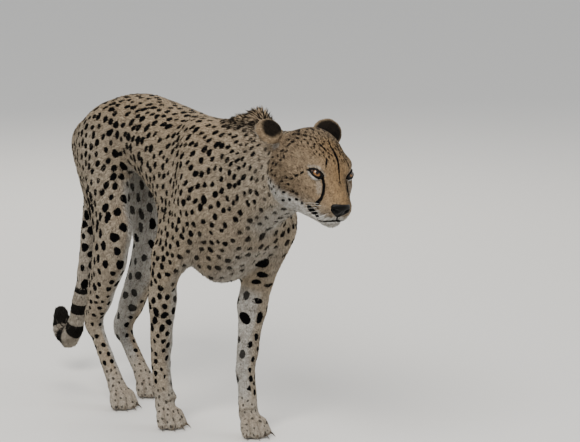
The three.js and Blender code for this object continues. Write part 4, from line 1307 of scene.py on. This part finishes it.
def nose_paint():
    paint = Paint("nose_paint")
    cells = paint.node("ShaderNodeTexVoronoi", {}, {"Vector": paint.place, "Scale": 620.0})[0]
    fine = paint.noise(900.0)
    # painted reflection: the black nose turns grey along its top, where the sky would reflect on its gloss
    colour = paint.mix((paint.attribute("top_reflection") * 0.7 + fine * 0.2).clamp(), srgb(4, 4, 4), srgb(40, 38, 37))
    return paint.finish(Base_Color=colour, Roughness=0.42 + fine * 0.25, Specular_IOR_Level=0.09,
                        bump=cells + fine * 0.4, strength=0.5, distance=0.0005)


# the rings of the eye, in mm over the ball from the middle of the pupil
PUPIL_EDGE = (3.0, 3.35)
IRIS_EDGE = (10.0, 10.6)
WHITE_EDGE = (11.5, 14.5)


def eye_paint():
    paint = Paint("eye_paint")
    away = paint.attribute("from_middle")
    streak = paint.noise(9.0, 4.0, 0.65, paint.attribute("rays", VECTOR))
    iris = paint.mix(streak.between(-0.15, 0.18), srgb(84, 54, 26), srgb(140, 98, 50))
    iris = paint.mix((away + streak * 1.6).between(7.4, 10.2), iris, srgb(44, 26, 14))
    iris = paint.mix(1 - (away + streak * 0.9).between(3.2, 4.6), iris, srgb(62, 38, 18))
    white = paint.mix(away.between(*WHITE_EDGE), srgb(26, 18, 14), srgb(86, 68, 56))
    ball = paint.mix(away.between(*IRIS_EDGE), iris, white)
    return paint.finish(Base_Color=paint.mix(1 - away.between(*PUPIL_EDGE), ball, srgb(5, 5, 6)),
                        Roughness=0.2 + paint.noise(700.0) * 0.06, Specular_IOR_Level=0.15, Coat_Weight=0.6,
                        Coat_Roughness=0.03, bump=streak, strength=0.15, distance=0.0003)


def rim_paint():
    paint = Paint("eye_rim_paint")
    fine = paint.noise(1300.0, 3.0)
    colour = paint.mix(fine.between(-0.1, 0.3), srgb(6, 6, 7), srgb(22, 19, 18))
    return paint.finish(Base_Color=colour, Roughness=0.45 + fine * 0.3, Specular_IOR_Level=0.12,
                        bump=fine, strength=0.35, distance=0.0004)


def whisker_paint():
    paint = Paint("whisker_paint")
    fine = paint.noise(160.0)
    colour = paint.mix(fine.between(-0.15, 0.25), srgb(236, 233, 226), srgb(196, 190, 178))
    return paint.finish(Base_Color=colour, Roughness=0.38 + fine * 0.2)


def claw_paint():
    paint = Paint("claw_paint")
    streak = paint.noise(420.0, 3.0)
    colour = paint.mix(streak.between(-0.15, 0.2), srgb(58, 50, 42), srgb(112, 98, 80))
    colour = paint.mix(paint.noise(60.0).between(-0.1, 0.2), colour, srgb(40, 34, 30))
    return paint.finish(Base_Color=colour, Roughness=0.34 + streak * 0.25, bump=streak, strength=0.25,
                        distance=0.0004)


on_pad = in_head(points_of(nose_pad))
# where the painted reflection lies: the top band of the nose
put(nose_pad, "top_reflection", ramp(on_pad[:, 2] + 0.2 * np.abs(on_pad[:, 0]), -36, -30))
claws = [o for n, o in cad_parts.items() if n.startswith("claw_")]
for o in claws:
    o.data.materials.clear()
painted = {coat_paint: [skin] + coats, nose_paint: [nose_pad], eye_paint: eyeballs.values(),
           rim_paint: eye_rims.values(), whisker_paint: [whiskers], claw_paint: claws}
for paint, pieces in painted.items():
    material = paint()
    for o in pieces:
        o.data.materials.append(material)

# ------ places in the model
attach(skin, "root")
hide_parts(*[n for n in flesh if n != "nose"])
for o in coats:
    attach(o, "root")
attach(nose_pad, "root")
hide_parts("nose")
for side in SIDES:
    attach(eyeballs[side], "root")
    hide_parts("eye_" + side)
    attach(eye_rims[side], "root")
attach(whiskers, "root")

# ------ camera, light and floor
scene = bpy.context.scene
CAMERA_TURN = -31.0
CAMERA_RISE = 9.5
CAMERA_PLACE = (-3.7932, -6.7849, 1.8135)
SENSOR_WIDTH = 36.0
VIEW_DEPTH = 3200.0 / 580.0               # how far away a thing looks as wide as the view, in its own widths
camera_data = bpy.data.cameras.new("camera")
camera_data.sensor_width = SENSOR_WIDTH
camera_data.lens = VIEW_DEPTH * SENSOR_WIDTH
camera_data.clip_end = 60.0
camera = bpy.data.objects.new("camera", camera_data)
camera.location = CAMERA_PLACE
camera.rotation_euler = (math.radians(90.0 - CAMERA_RISE), 0.0, math.radians(CAMERA_TURN))
scene.collection.objects.link(camera)
scene.camera = camera

deselect()
bpy.ops.mesh.primitive_plane_add(size=60.0, location=(0, 0, 0))
floor = bpy.context.object
floor.name = "floor"
floor.data.materials.append(Paint("floor_paint").finish(Base_Color=srgb(226, 223, 217), Roughness=0.85))

world = bpy.data.worlds.new("room")
scene.world = world
world.use_nodes = True
background = world.node_tree.nodes["Background"]
background.inputs["Color"].default_value = (0.93, 0.96, 1.0, 1)
background.inputs["Strength"].default_value = 0.75


def lamp(name, place, target, size, power, colour):
    data = bpy.data.lights.new(name, "AREA")
    data.shape = "DISK"
    data.size = size
    data.energy = power
    data.color = colour
    o = bpy.data.objects.new(name, data)
    o.location = place
    o.rotation_euler = (Vector(target) - Vector(place)).to_track_quat("-Z", "Y").to_euler()
    scene.collection.objects.link(o)


lamp("key", (-3.2, -3.0, 4.2), (0, 0, 0.5), 2.6, 330, (1.0, 0.975, 0.94))
lamp("fill", (3.8, -2.6, 2.0), (0, 0, 0.5), 3.0, 55, (0.95, 0.97, 1.0))
lamp("back", (1.5, 3.8, 3.2), (0, 0, 0.6), 2.4, 90, (1.0, 0.95, 0.86))
